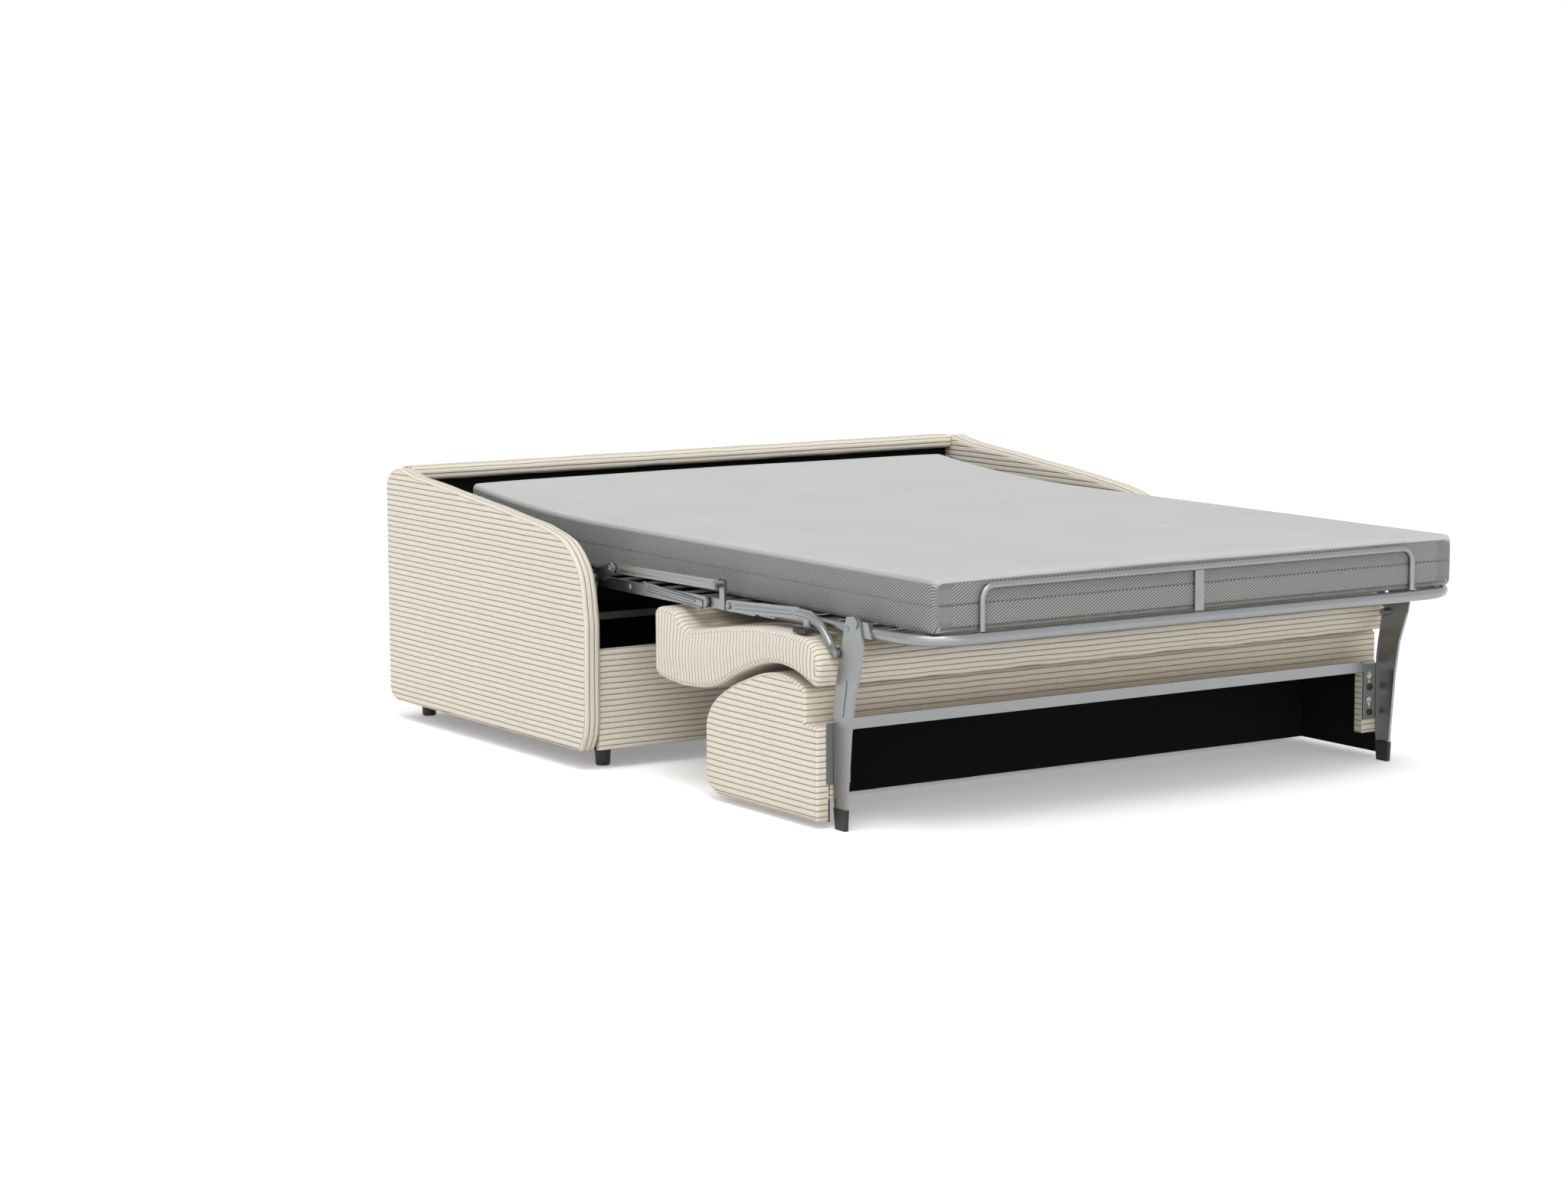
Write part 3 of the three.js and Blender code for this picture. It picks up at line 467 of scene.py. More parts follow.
def endProfile(radius, seamDepth):  # from the end panel, over the seam, to the strip
    rows = []
    for degrees in seamSpec["degrees"]:
        turn = math.radians(degrees)
        groove = seamDepth * math.exp(-((degrees - seamSpec["at"]) / seamSpec["width"]) ** 2)
        rows.append((radius * (1 - math.sin(turn)) + groove * math.sin(turn),
                     radius * (1 - math.cos(turn)) + groove * math.cos(turn),
                     "side" if degrees > seamSpec["at"] else "strip"))
    return rows


def inside(points, loop):
    y, z = points[:, 0], points[:, 1]
    hits = np.zeros(len(points), dtype=int)
    for (y0, z0), (y1, z1) in zip(loop, np.roll(loop, -1, axis=0)):
        if z0 != z1:
            crosses = (z0 > z) != (z1 > z)
            hits += crosses & (y < (y1 - y0) * (z - z0) / (z1 - z0) + y0)
    return hits % 2 == 1


def sidePanel(loop, spacing):  # triangles that fill the outline, and each inner point's distance from it
    low, high = loop.min(axis=0), loop.max(axis=0)
    grid = np.array([(y, z) for y in np.arange(low[0], high[0], spacing)
                     for z in np.arange(low[1], high[1], spacing)])
    grid = grid[inside(grid, loop)]
    gaps = np.sqrt(((grid[:, None, :] - loop[None, :, :]) ** 2).sum(axis=2)).min(axis=1)
    clear = gaps > spacing * panelClearance
    grid, gaps = grid[clear], gaps[clear]
    places = [Vector(p) for p in np.vstack([loop, grid])]
    edges = [(k, (k + 1) % len(loop)) for k in range(len(loop))]
    found = delaunay_2d_cdt(places, edges, [], 1, tinyGap)
    origins = [list(origin) for origin in found[3]]
    faces = []
    for face in found[2]:
        corners = [origins[v][0] for v in face if origins[v]]
        if len(set(corners)) > 2:
            faces.append(corners)
    return grid, gaps, faces


def coverRings(spec):  # each ring's place across the sofa, its inset and its zone
    x0, x1 = spec["x"]
    startEdge, endEdge = spec["edges"]
    startSeam, endSeam = spec["seams"]
    first, last = x0 + startEdge, x1 - endEdge
    rings = [(x0 + dx, inset, zone) for dx, inset, zone in endProfile(startEdge, startSeam)]
    for step in range(1, spec["stations"]):
        rings.append((first + (last - first) * step / spec["stations"], 0, "strip"))
    rings += [(x1 - dx, inset, zone) for dx, inset, zone in reversed(endProfile(endEdge, endSeam))]
    return rings


def coverVerts(loop, rings, spec):
    x0, x1 = spec["x"]
    middle, half = (x0 + x1) / 2, (x1 - x0) / 2
    normals = inwardNormals(loop)
    rows = []
    for x, inset, _ in rings:
        calm = min(1, coverSpec["rippleRise"] * (1 - abs(x - middle) / half))
        waves = ripple(x, loop[:, 0], loop[:, 1], spec["ripple"]) * calm
        push = spec["drawIn"] * ((x - middle) / half) ** coverSpec["drawInPower"] + waves
        rows.append(np.column_stack([np.full(len(loop), x), loop + normals * (inset + push)[:, None]]))
    return np.vstack(rows)


def stripFaces(verts, loop, rings, spec, sideRib):  # with each corner's place across the ribs
    arc = np.concatenate([[0], np.cumsum(np.hypot(*np.diff(loop, axis=0).T))])
    whole = arc[-1] + np.hypot(*(loop[0] - loop[-1]))
    size = len(loop)
    faces, ribs = [], []
    for ring in range(len(rings) - 1):
        onSide = rings[ring][2] == rings[ring + 1][2] == "side"
        for k in range(size):
            k2 = (k + 1) % size
            corners = [(ring, k), (ring + 1, k), (ring + 1, k2), (ring, k2)]
            faces.append([r * size + c for r, c in corners])
            for r, c in corners:
                point = verts[r * size + c]
                if onSide:
                    ribs.append(point[sideRib])
                elif spec["stripRibs"] == "x":
                    ribs.append(point[0])
                else:
                    ribs.append(whole if k2 == 0 and c == 0 else arc[c])
    return faces, ribs


def upholstered(name, spec, body):
    loop = resampled(side(spec["outline"]), spec["spacing"], spec["softness"])
    rings = coverRings(spec)
    verts = coverVerts(loop, rings, spec)
    sideRib = {"z": 2, "y": 1}[spec["sideRibs"]]
    faces, ribs = stripFaces(verts, loop, rings, spec, sideRib)
    size = len(loop)
    x0, x1 = spec["x"]
    for ring, x, outward in ((0, x0, -1), (len(rings) - 1, x1, 1)):
        outline = verts[ring * size:(ring + 1) * size, 1:]
        grid, gaps, triangles = sidePanel(outline, spec["panelSpacing"])
        puff = spec["puff"] * (1 - np.exp(-(gaps / coverSpec["puffReach"]) ** coverSpec["puffPower"]))
        waves = ripple(grid[:, 0] * coverSpec["panelWaveY"], grid[:, 1] * coverSpec["panelWaveZ"], gaps,
                       spec["ripple"]) * np.minimum(1, gaps / coverSpec["panelWaveReach"])
        firstInner = len(verts)
        verts = np.vstack([verts, np.column_stack([x + outward * (puff + waves), grid])])
        for triangle in triangles:
            places = [v + ring * size if v < size else firstInner + v - size for v in triangle]
            if outward > 0:
                places = places[::-1]
            faces.append(places)
            ribs.extend(verts[v][sideRib] for v in places)
    piece = meshPiece(name, verts, faces, corduroy, body)
    layer = piece.data.uv_layers.new(name="ribs")
    values = np.zeros(len(ribs) * 2)
    values[0::2] = ribs
    layer.data.foreach_set("uv", values)
    edit = bmesh.new()
    edit.from_mesh(piece.data)
    bmesh.ops.holes_fill(edit, edges=[e for e in edit.edges if e.is_boundary], sides=0)
    bmesh.ops.recalc_face_normals(edit, faces=edit.faces)
    edit.to_mesh(piece.data)
    edit.free()
    return piece


armSpec = {
    "outline": [(0, 77), (0, 577), (-6, 593), (-18, 606), (-36, 616), (-62, 623), (-153, 606), (-298, 594),
                (-423, 581), (-544, 570), (-663, 557), (-774, 544), (-838, 532), (-881, 519), (-913, 498),
                (-939, 471), (-954, 447), (-965, 410), (-976, 339), (-974, 119), (-966, 81), (-947, 46),
                (-35, 46), (-10, 56)],
    "thickness": 0.045, "halfWidth": 0.851, "edges": (0.007, 0.015), "seams": (0.0012, 0.0012),
    "softness": 0.008, "spacing": 0.008, "panelSpacing": 0.02, "puff": 0.0015, "drawIn": 0.0,
    "ripple": 0.0005, "sideRibs": "z", "stripRibs": "x", "stations": 5,
    "innerEase": 0.0005,
}
outer = armSpec["halfWidth"]
inner = armSpec["halfWidth"] - armSpec["thickness"] + armSpec["innerEase"]
leftArm = upholstered("leftArmCover", dict(armSpec, x=(-outer, -inner)), "base")
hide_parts("left_arm")
rightArm = upholstered("rightArmCover", dict(armSpec, x=(inner, outer), edges=armSpec["edges"][::-1]), "base")
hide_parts("right_arm")

backSpec = {
    "outline": [(0, 46), (0, 610), (-12, 622), (-53, 622), (-65, 610), (-65, 593), (-60, 588), (-34, 588),
                (-34, 46)],
    "x": (-0.8055, 0.8055), "edges": (0.002, 0.002), "seams": (0.0, 0.0), "softness": 0.003,
    "spacing": 0.004, "panelSpacing": 0.02, "puff": 0.0, "drawIn": 0.0, "ripple": 0.0008, "sideRibs": "z",
    "stripRibs": "arc", "stations": 70,
}
back = upholstered("backCover", backSpec, "base")
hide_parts("back_panel")

frontSpec = {
    "outline": [(-941.4, 46), (-941.4, 276), (-957, 276), (-957, 46)],
    "x": (-0.8055, 0.8055), "edges": (0.0015, 0.0015), "seams": (0.0, 0.0), "softness": 0.002,
    "spacing": 0.0035, "panelSpacing": 0.01, "puff": 0.0, "drawIn": 0.0, "ripple": 0.0005, "sideRibs": "z",
    "stripRibs": "arc", "stations": 70,
}
front = upholstered("frontCover", frontSpec, "base")
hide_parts("front_panel")

seatSpec = {
    "outline": [(-1168, 390), (-1168, 256), (-1184, 242), (-1217, 236), (-1287, 231), (-1363, 236),
                (-1412, 245), (-1458, 262), (-1500, 282), (-1541, 297), (-1582, 311), (-1614, 320),
                (-1658, 326), (-1686, 326), (-1725, 321), (-1756, 313), (-1790, 300), (-1815, 293),
                (-1828, 323), (-1832, 350), (-1815, 380), (-1775, 397), (-1695, 402), (-1585, 400),
                (-1450, 385), (-1370, 372), (-1310, 364), (-1280, 380), (-1252, 400), (-1207, 403),
                (-1181, 400)],
    "x": (-0.788, 0.788), "edges": (0.014, 0.014), "seams": (0.0016, 0.0016), "softness": 0.01,
    "spacing": 0.008, "panelSpacing": 0.013, "puff": 0.005, "drawIn": 0.003, "ripple": 0.0014,
    "sideRibs": "y", "stripRibs": "arc", "stations": 50,
}
seat = upholstered("seatCover", seatSpec, "seat")
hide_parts("seat_cushion")

boxSpec = {
    "outline": [(-1382, 139), (-1382, 166), (-1389, 187), (-1404, 209), (-1429, 230), (-1458, 247),
                (-1500, 267), (-1541, 282), (-1582, 296), (-1614, 305), (-1658, 311), (-1686, 311),
                (-1725, 306), (-1756, 298), (-1775, 286), (-1775, 217), (-1821, 214), (-1821, 14),
                (-1430, 14), (-1406, 24), (-1387, 38), (-1382, 56)],
    "x": (-0.787, 0.787), "edges": (0.008, 0.008), "seams": (0.0014, 0.0014), "softness": 0.005,
    "spacing": 0.005, "panelSpacing": 0.014, "puff": 0.002, "drawIn": 0.0015, "ripple": 0.0009,
    "sideRibs": "z", "stripRibs": "arc", "stations": 50,
    "hollow": ((-0.757, 0.757), (-1840, -1555), (-10, 205)),
    "sharpAngle": 50,
}


def hollowed(piece, spec):
    (x0, x1), (y0, y1), (z0, z1) = spec["hollow"]
    low, high = side([(y0, z0), (y1, z1)])
    corners = [(x, y, z) for x in (x0, x1) for y in (low[0], high[0]) for z in (low[1], high[1])]
    block = bpy.data.meshes.new("cutter")
    block.from_pydata(corners, [], [(0, 1, 3, 2), (4, 6, 7, 5), (0, 4, 5, 1), (2, 3, 7, 6), (0, 2, 6, 4),
                                    (1, 5, 7, 3)])
    cutter = bpy.data.objects.new("cutter", block)
    scene.collection.objects.link(cutter)
    modifier = piece.modifiers.new("hollow", "BOOLEAN")
    modifier.object, modifier.operation, modifier.solver = cutter, "DIFFERENCE", "EXACT"
    bpy.context.view_layer.update()
    cut = bpy.data.meshes.new_from_object(piece.evaluated_get(bpy.context.evaluated_depsgraph_get()))
    piece.modifiers.clear()
    piece.data = cut
    bpy.data.objects.remove(cutter)
    bpy.data.meshes.remove(block)
    cut.set_sharp_from_angle(angle=math.radians(spec["sharpAngle"]))


backrest = upholstered("backrestCover", boxSpec, "legs")
hollowed(backrest, boxSpec)
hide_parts("backrest")
print("upholstery made")


# Mattress: four lengths that meet over the frame's hinges, in millimetres; the foot's end is in metres

mattressSpec = {
    "half": 700, "bottom": 433.3, "height": 114, "head": -161, "foot": -2112,
    "hinges": (-680, -1327, -1515), "spacing": 12,
    "headRise": 38, "riseLength": 635,  # the head end is thicker
    "radius": 13, "edgeSteps": 6, "endTurns": (15, 32, 50, 70),
    "edgeFades": ((0.75, 1), (0.25, 0.35), (-1, 0)),  # depth in radii below the top, and the border's share
    "wallShares": (0.14, 0.86), "wallSteps": 29, "bulge": 1.0,
    "seamShare": 0.5, "seamWidth": 0.018, "seamDepth": 1.1,
    "acrossSteps": 61, "crown": 4.0, "wave": 1.3,
    "longWave": (0.011, 3.1), "shortWave": (0.027, 5.3), "shortShare": 0.7,
    "diagonalSlope": 0.66,
    "footSteps": 41, "footSeamRise": 0.003, "footDip": 0.0008,
    "cutAngle": 0.7,
}


def mattressHeight(y, spec):
    share = np.clip(1 + (y - spec["head"]) / spec["riseLength"], 0, 1)
    return spec["height"] + spec["headRise"] * share ** 2


def mattressStations(start, end, spec):  # closer together where an end is rounded
    count = max(4, int((start - end) / spec["spacing"]))
    stations = list(np.linspace(start, end, count + 1))
    radius = spec["radius"]
    turns = [radius * (1 - math.cos(math.radians(a))) for a in spec["endTurns"]]
    if start == spec["head"]:
        stations = [start] + [start - t for t in turns] + [s for s in stations if s < start - radius]
    if end == spec["foot"]:
        stations = [s for s in stations if s > end + radius] + [end + t for t in reversed(turns)] + [end]
    return stations


def mattressSide(height, spec):  # the right side from the bottom up: place, height, border and seam shares
    radius, half = spec["radius"], spec["half"]
    rows = []
    for degrees in np.linspace(-90, 0, spec["edgeSteps"]):
        turn = math.radians(degrees)
        rows.append((half - (radius - radius * math.cos(turn)), radius + radius * math.sin(turn), 1, 0))
    for share in np.linspace(*spec["wallShares"], spec["wallSteps"]):
        near = math.exp(-((share - spec["seamShare"]) / spec["seamWidth"]) ** 2)
        inward = spec["seamDepth"] * near - spec["bulge"] * math.sin(math.pi * share) ** 2
        rows.append((half - inward, share * height, 1, near))
    for degrees in np.linspace(0, 90, spec["edgeSteps"]):
        turn = math.radians(degrees)
        drop = radius * (1 - math.sin(turn))
        fade = next(fade for share, fade in spec["edgeFades"] if drop > radius * share)
        rows.append((half - (radius - radius * math.cos(turn)), height - drop, fade, 0))
    return rows


def mattressTop(y, height, spec):  # the top from right to left, with its slow waves
    flat = spec["half"] - spec["radius"]
    (longAlong, longAcross), (shortAlong, shortAcross) = spec["longWave"], spec["shortWave"]
    rows = []
    for share in np.linspace(1, -1, spec["acrossSteps"])[1:-1]:
        wave = spec["wave"] * (math.sin(y * longAlong + share * longAcross)
                               + spec["shortShare"] * math.sin(y * shortAlong - share * shortAcross))
        rise = height + spec["crown"] * (1 - share ** 2) + wave * (1 - share ** 4)
        rows.append((share * flat, rise, 0, 0))
    return rows


def endInset(y, start, end, spec):  # how far a rounded end draws the outline in
    reach = 0
    if start == spec["head"]:
        reach = max(reach, 1 - (start - y) / spec["radius"])
    if end == spec["foot"]:
        reach = max(reach, 1 - (y - end) / spec["radius"])
    return spec["radius"] * (1 - math.sqrt(max(0, 1 - reach ** 2)))


def footFace(verts, faces, marks, ring, sideCount, spec):  # its own grid, so that the end's seam shows
    rightSide, leftSide = ring[:sideCount], ring[-sideCount:][::-1]
    endY = verts[ring[0]][1]
    columns = [rightSide]
    for share in np.linspace(0, 1, spec["footSteps"])[1:-1]:
        column = []
        for a, b in zip(rightSide, leftSide):
            right, left = np.array(verts[a]), np.array(verts[b])
            p = right + (left - right) * share
            near = marks["seamShare"][a]
            p[1] = endY + spec["footSeamRise"] * near - spec["footDip"] * (1 - near)
            column.append(len(verts))
            verts.append(tuple(p))
            marks["borderShare"].append(1)
            marks["diagonal"].append(p[2] - spec["diagonalSlope"] * p[0])
            marks["alongEdge"].append(p[0])
            marks["seamShare"].append(near)
        columns.append(column)
    columns.append(leftSide)
    for previous, current in zip(columns, columns[1:]):
        for k in range(sideCount - 1):
            faces.append((previous[k], current[k], current[k + 1], previous[k + 1]))
    inner = columns[1:-1]
    faces.append([rightSide[-1]] + ring[sideCount:-sideCount] + [leftSide[-1]]
                 + [column[-1] for column in reversed(inner)])
    faces.append([rightSide[0]] + [column[0] for column in inner] + [leftSide[0]])


def mattressSection(name, start, end, spec, body, node):
    half = spec["half"]
    verts, faces = [], []
    marks = {"borderShare": [], "diagonal": [], "alongEdge": [], "seamShare": []}
    stations = mattressStations(start, end, spec)
    for y in stations:
        height = mattressHeight(y, spec)
        inset = endInset(y, start, end, spec)
        right = mattressSide(height, spec)
        row = right + mattressTop(y, height, spec) + [(-x, z, b, n) for x, z, b, n in reversed(right)]
        onEnd = y == end == spec["foot"] or y == start == spec["head"]
        middle = height / 2
        for x, z, border, near in row:
            drawn = middle + (z - middle) * (1 - inset / middle)
            verts.append((x * (1 - inset / half) / 1000, y / 1000 + bedReach / 2,
                          (spec["bottom"] + drawn) / 1000))
            marks["borderShare"].append(1 if onEnd else border)
            marks["diagonal"].append((y * spec["diagonalSlope"] + z) / 1000)
            marks["alongEdge"].append(y / 1000 * (1 if x > 0 else -1))
            marks["seamShare"].append(near)
    size = len(row)
    last = len(stations) - 1
    for r in range(last):
        for k in range(size):
            k2 = (k + 1) % size
            faces.append((r * size + k, (r + 1) * size + k, (r + 1) * size + k2, r * size + k2))
    faces.append(list(range(size)))
    endRing = list(range(last * size, (last + 1) * size))
    if end == spec["foot"]:
        footFace(verts, faces, marks, endRing, len(right), spec)
    else:
        faces.append(endRing[::-1])
    piece = meshPiece(name, verts, faces, knit, body)
    for label, values in marks.items():
        attribute = piece.data.attributes.new(label, "FLOAT", "POINT")
        attribute.data.foreach_set("value", np.array(values, dtype=np.float32))
    ends = {round(y / 1000 + bedReach / 2, 6) for y in (start, end)}
    edit = bmesh.new()
    edit.from_mesh(piece.data)
    bmesh.ops.recalc_face_normals(edit, faces=edit.faces)
    for edge in edit.edges:
        onCut = all(round(v.co.y, 6) in ends for v in edge.verts)
        edge.smooth = not (onCut and abs(edge.calc_face_angle(0)) > spec["cutAngle"])
    edit.to_mesh(piece.data)
    edit.free()
    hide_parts(node)
    return piece


stops = (mattressSpec["head"], *mattressSpec["hinges"], mattressSpec["foot"])
sectionSpecs = {  # body, replaced node, the joint that folds it, and the share of its thickness left then
    "headMattress": ("head", "head_mattress", "head_fold", 0.12),
    "middleMattress": ("mid", "mid_mattress", "head_fold", 0.5),
    "foldMattress": ("fold", "fold_mattress", "fold_section_turn", 0.3),
    "footMattress": ("foot", "foot_mattress", "foot_section_turn", 0.6),
}
for (name, (body, node, joint, keep)), start, end in zip(sectionSpecs.items(), stops, stops[1:]):
    pad = mattressSection(name, start, end, mattressSpec, body, node)
    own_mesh(pad)
print("mattress made")


# Pressed ridges, rivets and bolts on the steel

ridgeSpec = {"bendSteps": 7, "capTurns": (1.45, 1.1, 0.7, 0.3), "around": 9, "sunk": 0.0003, "sharpAngle": 50}
studSpec = {"sides": 24, "sharpAngle": 35}
mergeGap = 0.000005


def tidyMesh(piece, angle):
    edit = bmesh.new()
    edit.from_mesh(piece.data)
    bmesh.ops.remove_doubles(edit, verts=edit.verts, dist=mergeGap)
    bmesh.ops.recalc_face_normals(edit, faces=edit.faces)
    edit.to_mesh(piece.data)
    edit.free()
    piece.data.set_sharp_from_angle(angle=math.radians(angle))


def softPath(path, bend):  # the path with its corners rounded
    soft = [path[0]]
    for before, here, after in zip(path, path[1:], path[2:]):
        back, ahead = np.linalg.norm(before - here), np.linalg.norm(after - here)
        reach = min(bend, back / 2, ahead / 2)
        start = here + (before - here) / back * reach
        end = here + (after - here) / ahead * reach
        soft += [(1 - t) ** 2 * start + 2 * t * (1 - t) * here + t * t * end
                 for t in np.linspace(0, 1, ridgeSpec["bendSteps"])]
    soft.append(path[-1])
    return np.array(soft)


def bead(name, spec, body):  # a raised ridge with round ends along a path on a plate's outer face
    path = softPath(side(spec["path"]), spec["bend"])
    tangent = np.gradient(path, axis=0)
    tangent /= np.linalg.norm(tangent, axis=1)[:, None]
    across = np.column_stack([-tangent[:, 1], tangent[:, 0]])
    half, rise = spec["halfWidth"], spec["rise"]
    turns = ridgeSpec["capTurns"]
    stations = [(path[0] - tangent[0] * half * math.sin(a), math.cos(a), across[0]) for a in turns]
    stations += [(p, 1, n) for p, n in zip(path, across)]
    stations += [(path[-1] + tangent[-1] * half * math.sin(a), math.cos(a), across[-1])
                 for a in reversed(turns)]
    around, rows = ridgeSpec["around"], len(stations)
    for label, sign in (("left", -1), ("right", 1)):
        verts, faces = [], []
        for place, share, normal in stations:
            for turn in np.linspace(0, math.pi, around):
                y, z = place + normal * half * share * math.cos(turn)
                verts.append((sign * (spec["x"] + rise * share * math.sin(turn) - ridgeSpec["sunk"]), y, z))
        for r in range(rows - 1):
            here, ahead = r * around, (r + 1) * around
            for k in range(around - 1):
                face = (here + k, here + k + 1, ahead + k + 1, ahead + k)
                faces.append(face if sign < 0 else face[::-1])
            faces.append((here, ahead, ahead + around - 1, here + around - 1)[::sign])
        faces.append(tuple(range(around)))
        faces.append(tuple(range((rows - 1) * around, rows * around)))
        piece = meshPiece(label + name, verts, faces, steel, body)
        tidyMesh(piece, ridgeSpec["sharpAngle"])


def studs(name, spec, body, material):  # turned heads, as profiles of radius and height shares
    verts, faces = [], []
    sides, rows = studSpec["sides"], len(spec["profile"])
    for sign in (-1, 1):
        for x, y, z in spec["places"]:
            centre = np.array([sign * x, y / 1000 + bedReach / 2, z / 1000])
            start = len(verts)
            for out, up in spec["profile"]:
                lift = up * spec["height"]
                for k in range(sides):
                    turn = 2 * math.pi * k / sides
                    a, b = math.cos(turn) * out * spec["radius"], math.sin(turn) * out * spec["radius"]
                    verts.append(centre + ((sign * lift, a, b) if spec["faces"] == "x" else (a, -lift, b)))
            for r in range(rows - 1):
                here, above = start + r * sides, start + (r + 1) * sides
                for k in range(sides):
                    k2 = (k + 1) % sides
                    faces.append((here + k, here + k2, above + k2, above + k))
            for row in (0, rows - 1):
                faces.append(tuple(start + row * sides + k for k in range(sides)))
    piece = meshPiece(name, verts, faces, material, body)
    tidyMesh(piece, studSpec["sharpAngle"])


pressedSpecs = {
    "UpperLinkRidge": {"path": [(-990, 460.5), (-1366, 466.5)], "bend": 0.02, "halfWidth": 0.0058,
                       "rise": 0.0012, "x": 0.7672, "body": "upper_links"},
    "BentLinkRidge": {"path": [(-1462, 425.6), (-1682, 437.1)], "bend": 0.02, "halfWidth": 0.0055,
                      "rise": 0.0028, "x": 0.7552, "body": "seat"},
    "BentLinkElbow": {"path": [(-1702, 438), (-1751, 437), (-1790, 420), (-1824, 387.3)], "bend": 0.022,
                      "halfWidth": 0.0066, "rise": 0.0055, "x": 0.7552, "body": "seat"},
    "LowerChannelRidge": {"path": [(-1100, 429), (-1290, 419.5)], "bend": 0.02, "halfWidth": 0.0038,
                          "rise": 0.0016, "x": 0.7562, "body": "mid"},
}
for label, spec in pressedSpecs.items():
    bead(label, spec, spec["body"])

rivetLook = {
    "profile": [(1, -0.2), (1, 0.35), (0.92, 0.7), (0.75, 0.92), (0.5, 1), (0.34, 1), (0.3, 0.7), (0.1, 0.6)],
    "radius": 0.0068, "height": 0.0022, "faces": "x",
}
rivetSpecs = {
    "legRivets": {"places": [(0.7479, -1876, 424), (0.7486, -1906, 438)], "body": "legs"},
    "seatPivotRivets": {"places": [(0.7566, -1842, 370)], "body": "legs"},
    "upperLinkRivets": {"places": [(0.7696, -1394, 467)], "body": "upper_links"},
    "crankRivets": {"places": [(0.7771, -962, 460), (0.7771, -868, 300)], "body": "carrier"},
    "middleRivets": {"places": [(0.7532, -1010, 422), (0.7818, -885, 432)], "body": "mid"},
    "bentLinkRivets": {"places": [(0.7578, -1432, 424)], "body": "seat"},
}
for label, spec in rivetSpecs.items():
    studs(label, dict(rivetLook, places=spec["places"]), spec["body"], steel)

boltSpec = {"places": [(0.724, -1824.3, 168), (0.724, -1824.3, 110)], "radius": 0.0078, "height": 0.0045,
            "profile": [(0.5, -0.7), (0.5, 0), (1, 0), (1, 0.45), (0.88, 0.8), (0.6, 1), (0.35, 1),
                        (0.3, 0.7), (0.05, 0.68)], "faces": "y"}
studs("keyholeBolts", boltSpec, "legs", blackPlastic)

stripSpec = {
    "outline": [(-1793, 62), (-1793, 207), (-1821, 207), (-1821, 62)], "halfX": (0.7055, 0.7575),
    "edges": (0.003, 0.0015), "seams": (0.0, 0.0), "softness": 0.002, "spacing": 0.0035,
    "panelSpacing": 0.01, "puff": 0.0, "drawIn": 0.0, "ripple": 0.0004, "sideRibs": "z",
    "stripRibs": "arc", "stations": 6,
}
near, far = stripSpec["halfX"]
upholstered("rightBoxStrip", dict(stripSpec, x=(near, far)), "legs")
upholstered("leftBoxStrip", dict(stripSpec, x=(-far, -near), edges=stripSpec["edges"][::-1]), "legs")
print("steel details made")


# Stage, lights and camera

stageSpec = {
    "floor": (0.95, 0.95, 0.95),
    "floorHalf": 60,
    "floorGlow": 0.28,
    "horizon": 0.32,
    "zenith": 0.72,
    "domeRise": (-0.1, 0.8),  # heights of the direction between which the dome goes from horizon to zenith
}
floorLook = {"name": "pale floor", "surface": {"Roughness": 1.0, "Specular IOR Level": 0.0}}


def seenDirectly(material):  # 1 for rays from the camera and for reflections
    rays = addNode(material, "ShaderNodeLightPath")
    return mathNode(material, "MAXIMUM", rays.outputs["Is Camera Ray"], rays.outputs["Is Glossy Ray"])


def floorMaterial(look, spec):
    material, shader = newMaterial(look)
    shader.inputs["Base Color"].default_value = (*spec["floor"], 1)
    glow = addNode(material, "ShaderNodeEmission")
    both = addNode(material, "ShaderNodeAddShader")
    output = material.node_tree.nodes["Material Output"]
    strength = scaled(material, seenDirectly(material), spec["floorGlow"])
    wire(material, (strength, glow.inputs["Strength"]), (shader.outputs[0], both.inputs[0]),
         (glow.outputs[0], both.inputs[1]), (both.outputs[0], output.inputs["Surface"]))
    return material


reach = stageSpec["floorHalf"]
floorMesh = bpy.data.meshes.new("floor")
floorMesh.from_pydata([(-reach, -reach, 0), (reach, -reach, 0), (reach, reach, 0), (-reach, reach, 0)], [],
                      [(0, 1, 2, 3)])
floorMesh.materials.append(floorMaterial(floorLook, stageSpec))
floor = bpy.data.objects.new("floor", floorMesh)
scene.collection.objects.link(floor)

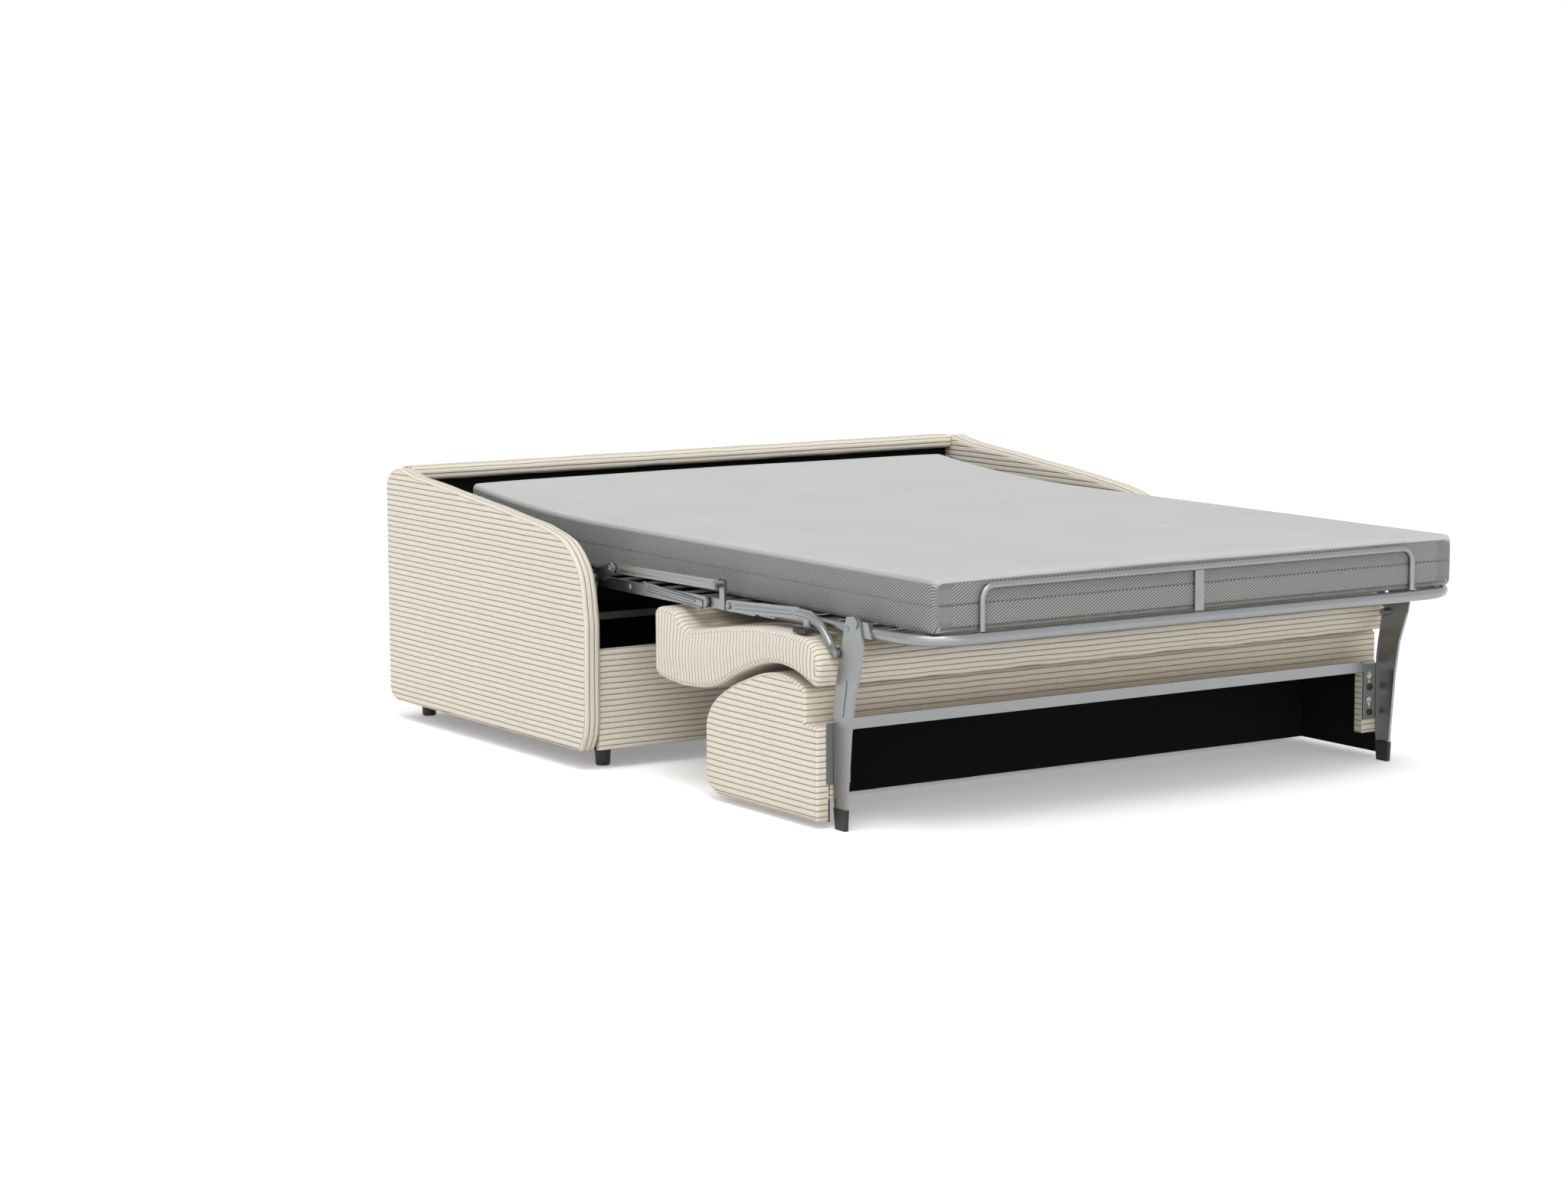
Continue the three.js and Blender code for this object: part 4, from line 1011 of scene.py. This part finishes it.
world = bpy.data.worlds.new("studio")
scene.world = world
world.use_nodes = True
background = world.node_tree.nodes["Background"]
background.inputs["Color"].default_value = (1, 1, 1, 1)
direction = addNode(world, "ShaderNodeSeparateXYZ")
wire(world, (addNode(world, "ShaderNodeTexCoord").outputs["Generated"], direction.inputs[0]))
height = rampNode(world, direction.outputs[2], *stageSpec["domeRise"])
dome = mathNode(world, "MULTIPLY_ADD", height, stageSpec["zenith"] - stageSpec["horizon"],
                stageSpec["horizon"])
seen = seenDirectly(world)
domeLight = mathNode(world, "MULTIPLY", dome, mathNode(world, "SUBTRACT", 1.0, seen))
wire(world, (mathNode(world, "ADD", domeLight, seen), background.inputs["Strength"]))

lightSpec = {
    "overhead": {"toward": (0.35, 0.3, -1.0), "spread": 38, "strength": 0.88},
    "glint": {"toward": (0.3, 0.5, -1.0), "spread": 16, "strength": 0.42},
    "fromLeft": {"toward": (1.0, 0.3, -0.45), "spread": 50, "strength": 0.2},
    "fromFront": {"toward": (0.4, 1.0, -0.12), "spread": 70, "strength": 1.05},
}
for lightName, spec in lightSpec.items():
    data = bpy.data.lights.new(lightName, "SUN")
    data.energy, data.angle = spec["strength"], math.radians(spec["spread"])
    lamp = bpy.data.objects.new(lightName, data)
    lamp.rotation_mode = "QUATERNION"
    lamp.rotation_quaternion = Vector(spec["toward"]).to_track_quat("-Z", "Y")
    scene.collection.objects.link(lamp)

cameraSpec = {
    "place": (-4.855, -6.9339, 1.4438), "yaw": 32.853, "pitch": 7.369, "roll": -0.266,
    "lens": 83.53, "sensor": 36, "farthest": 200,
}
cameraData = bpy.data.cameras.new("camera")
cameraData.lens, cameraData.sensor_width = cameraSpec["lens"], cameraSpec["sensor"]
cameraData.clip_end = cameraSpec["farthest"]
camera = bpy.data.objects.new("camera", cameraData)
yaw, pitch, roll = (math.radians(cameraSpec[angle]) for angle in ("yaw", "pitch", "roll"))
looking = Vector((math.sin(yaw) * math.cos(pitch), math.cos(yaw) * math.cos(pitch), -math.sin(pitch)))
turn = looking.to_track_quat("-Z", "Y").to_matrix() @ Matrix.Rotation(roll, 3, "Z")
camera.matrix_world = Matrix.Translation(cameraSpec["place"]) @ turn.to_4x4()
scene.collection.objects.link(camera)
scene.camera = camera

print("stage and camera ready")
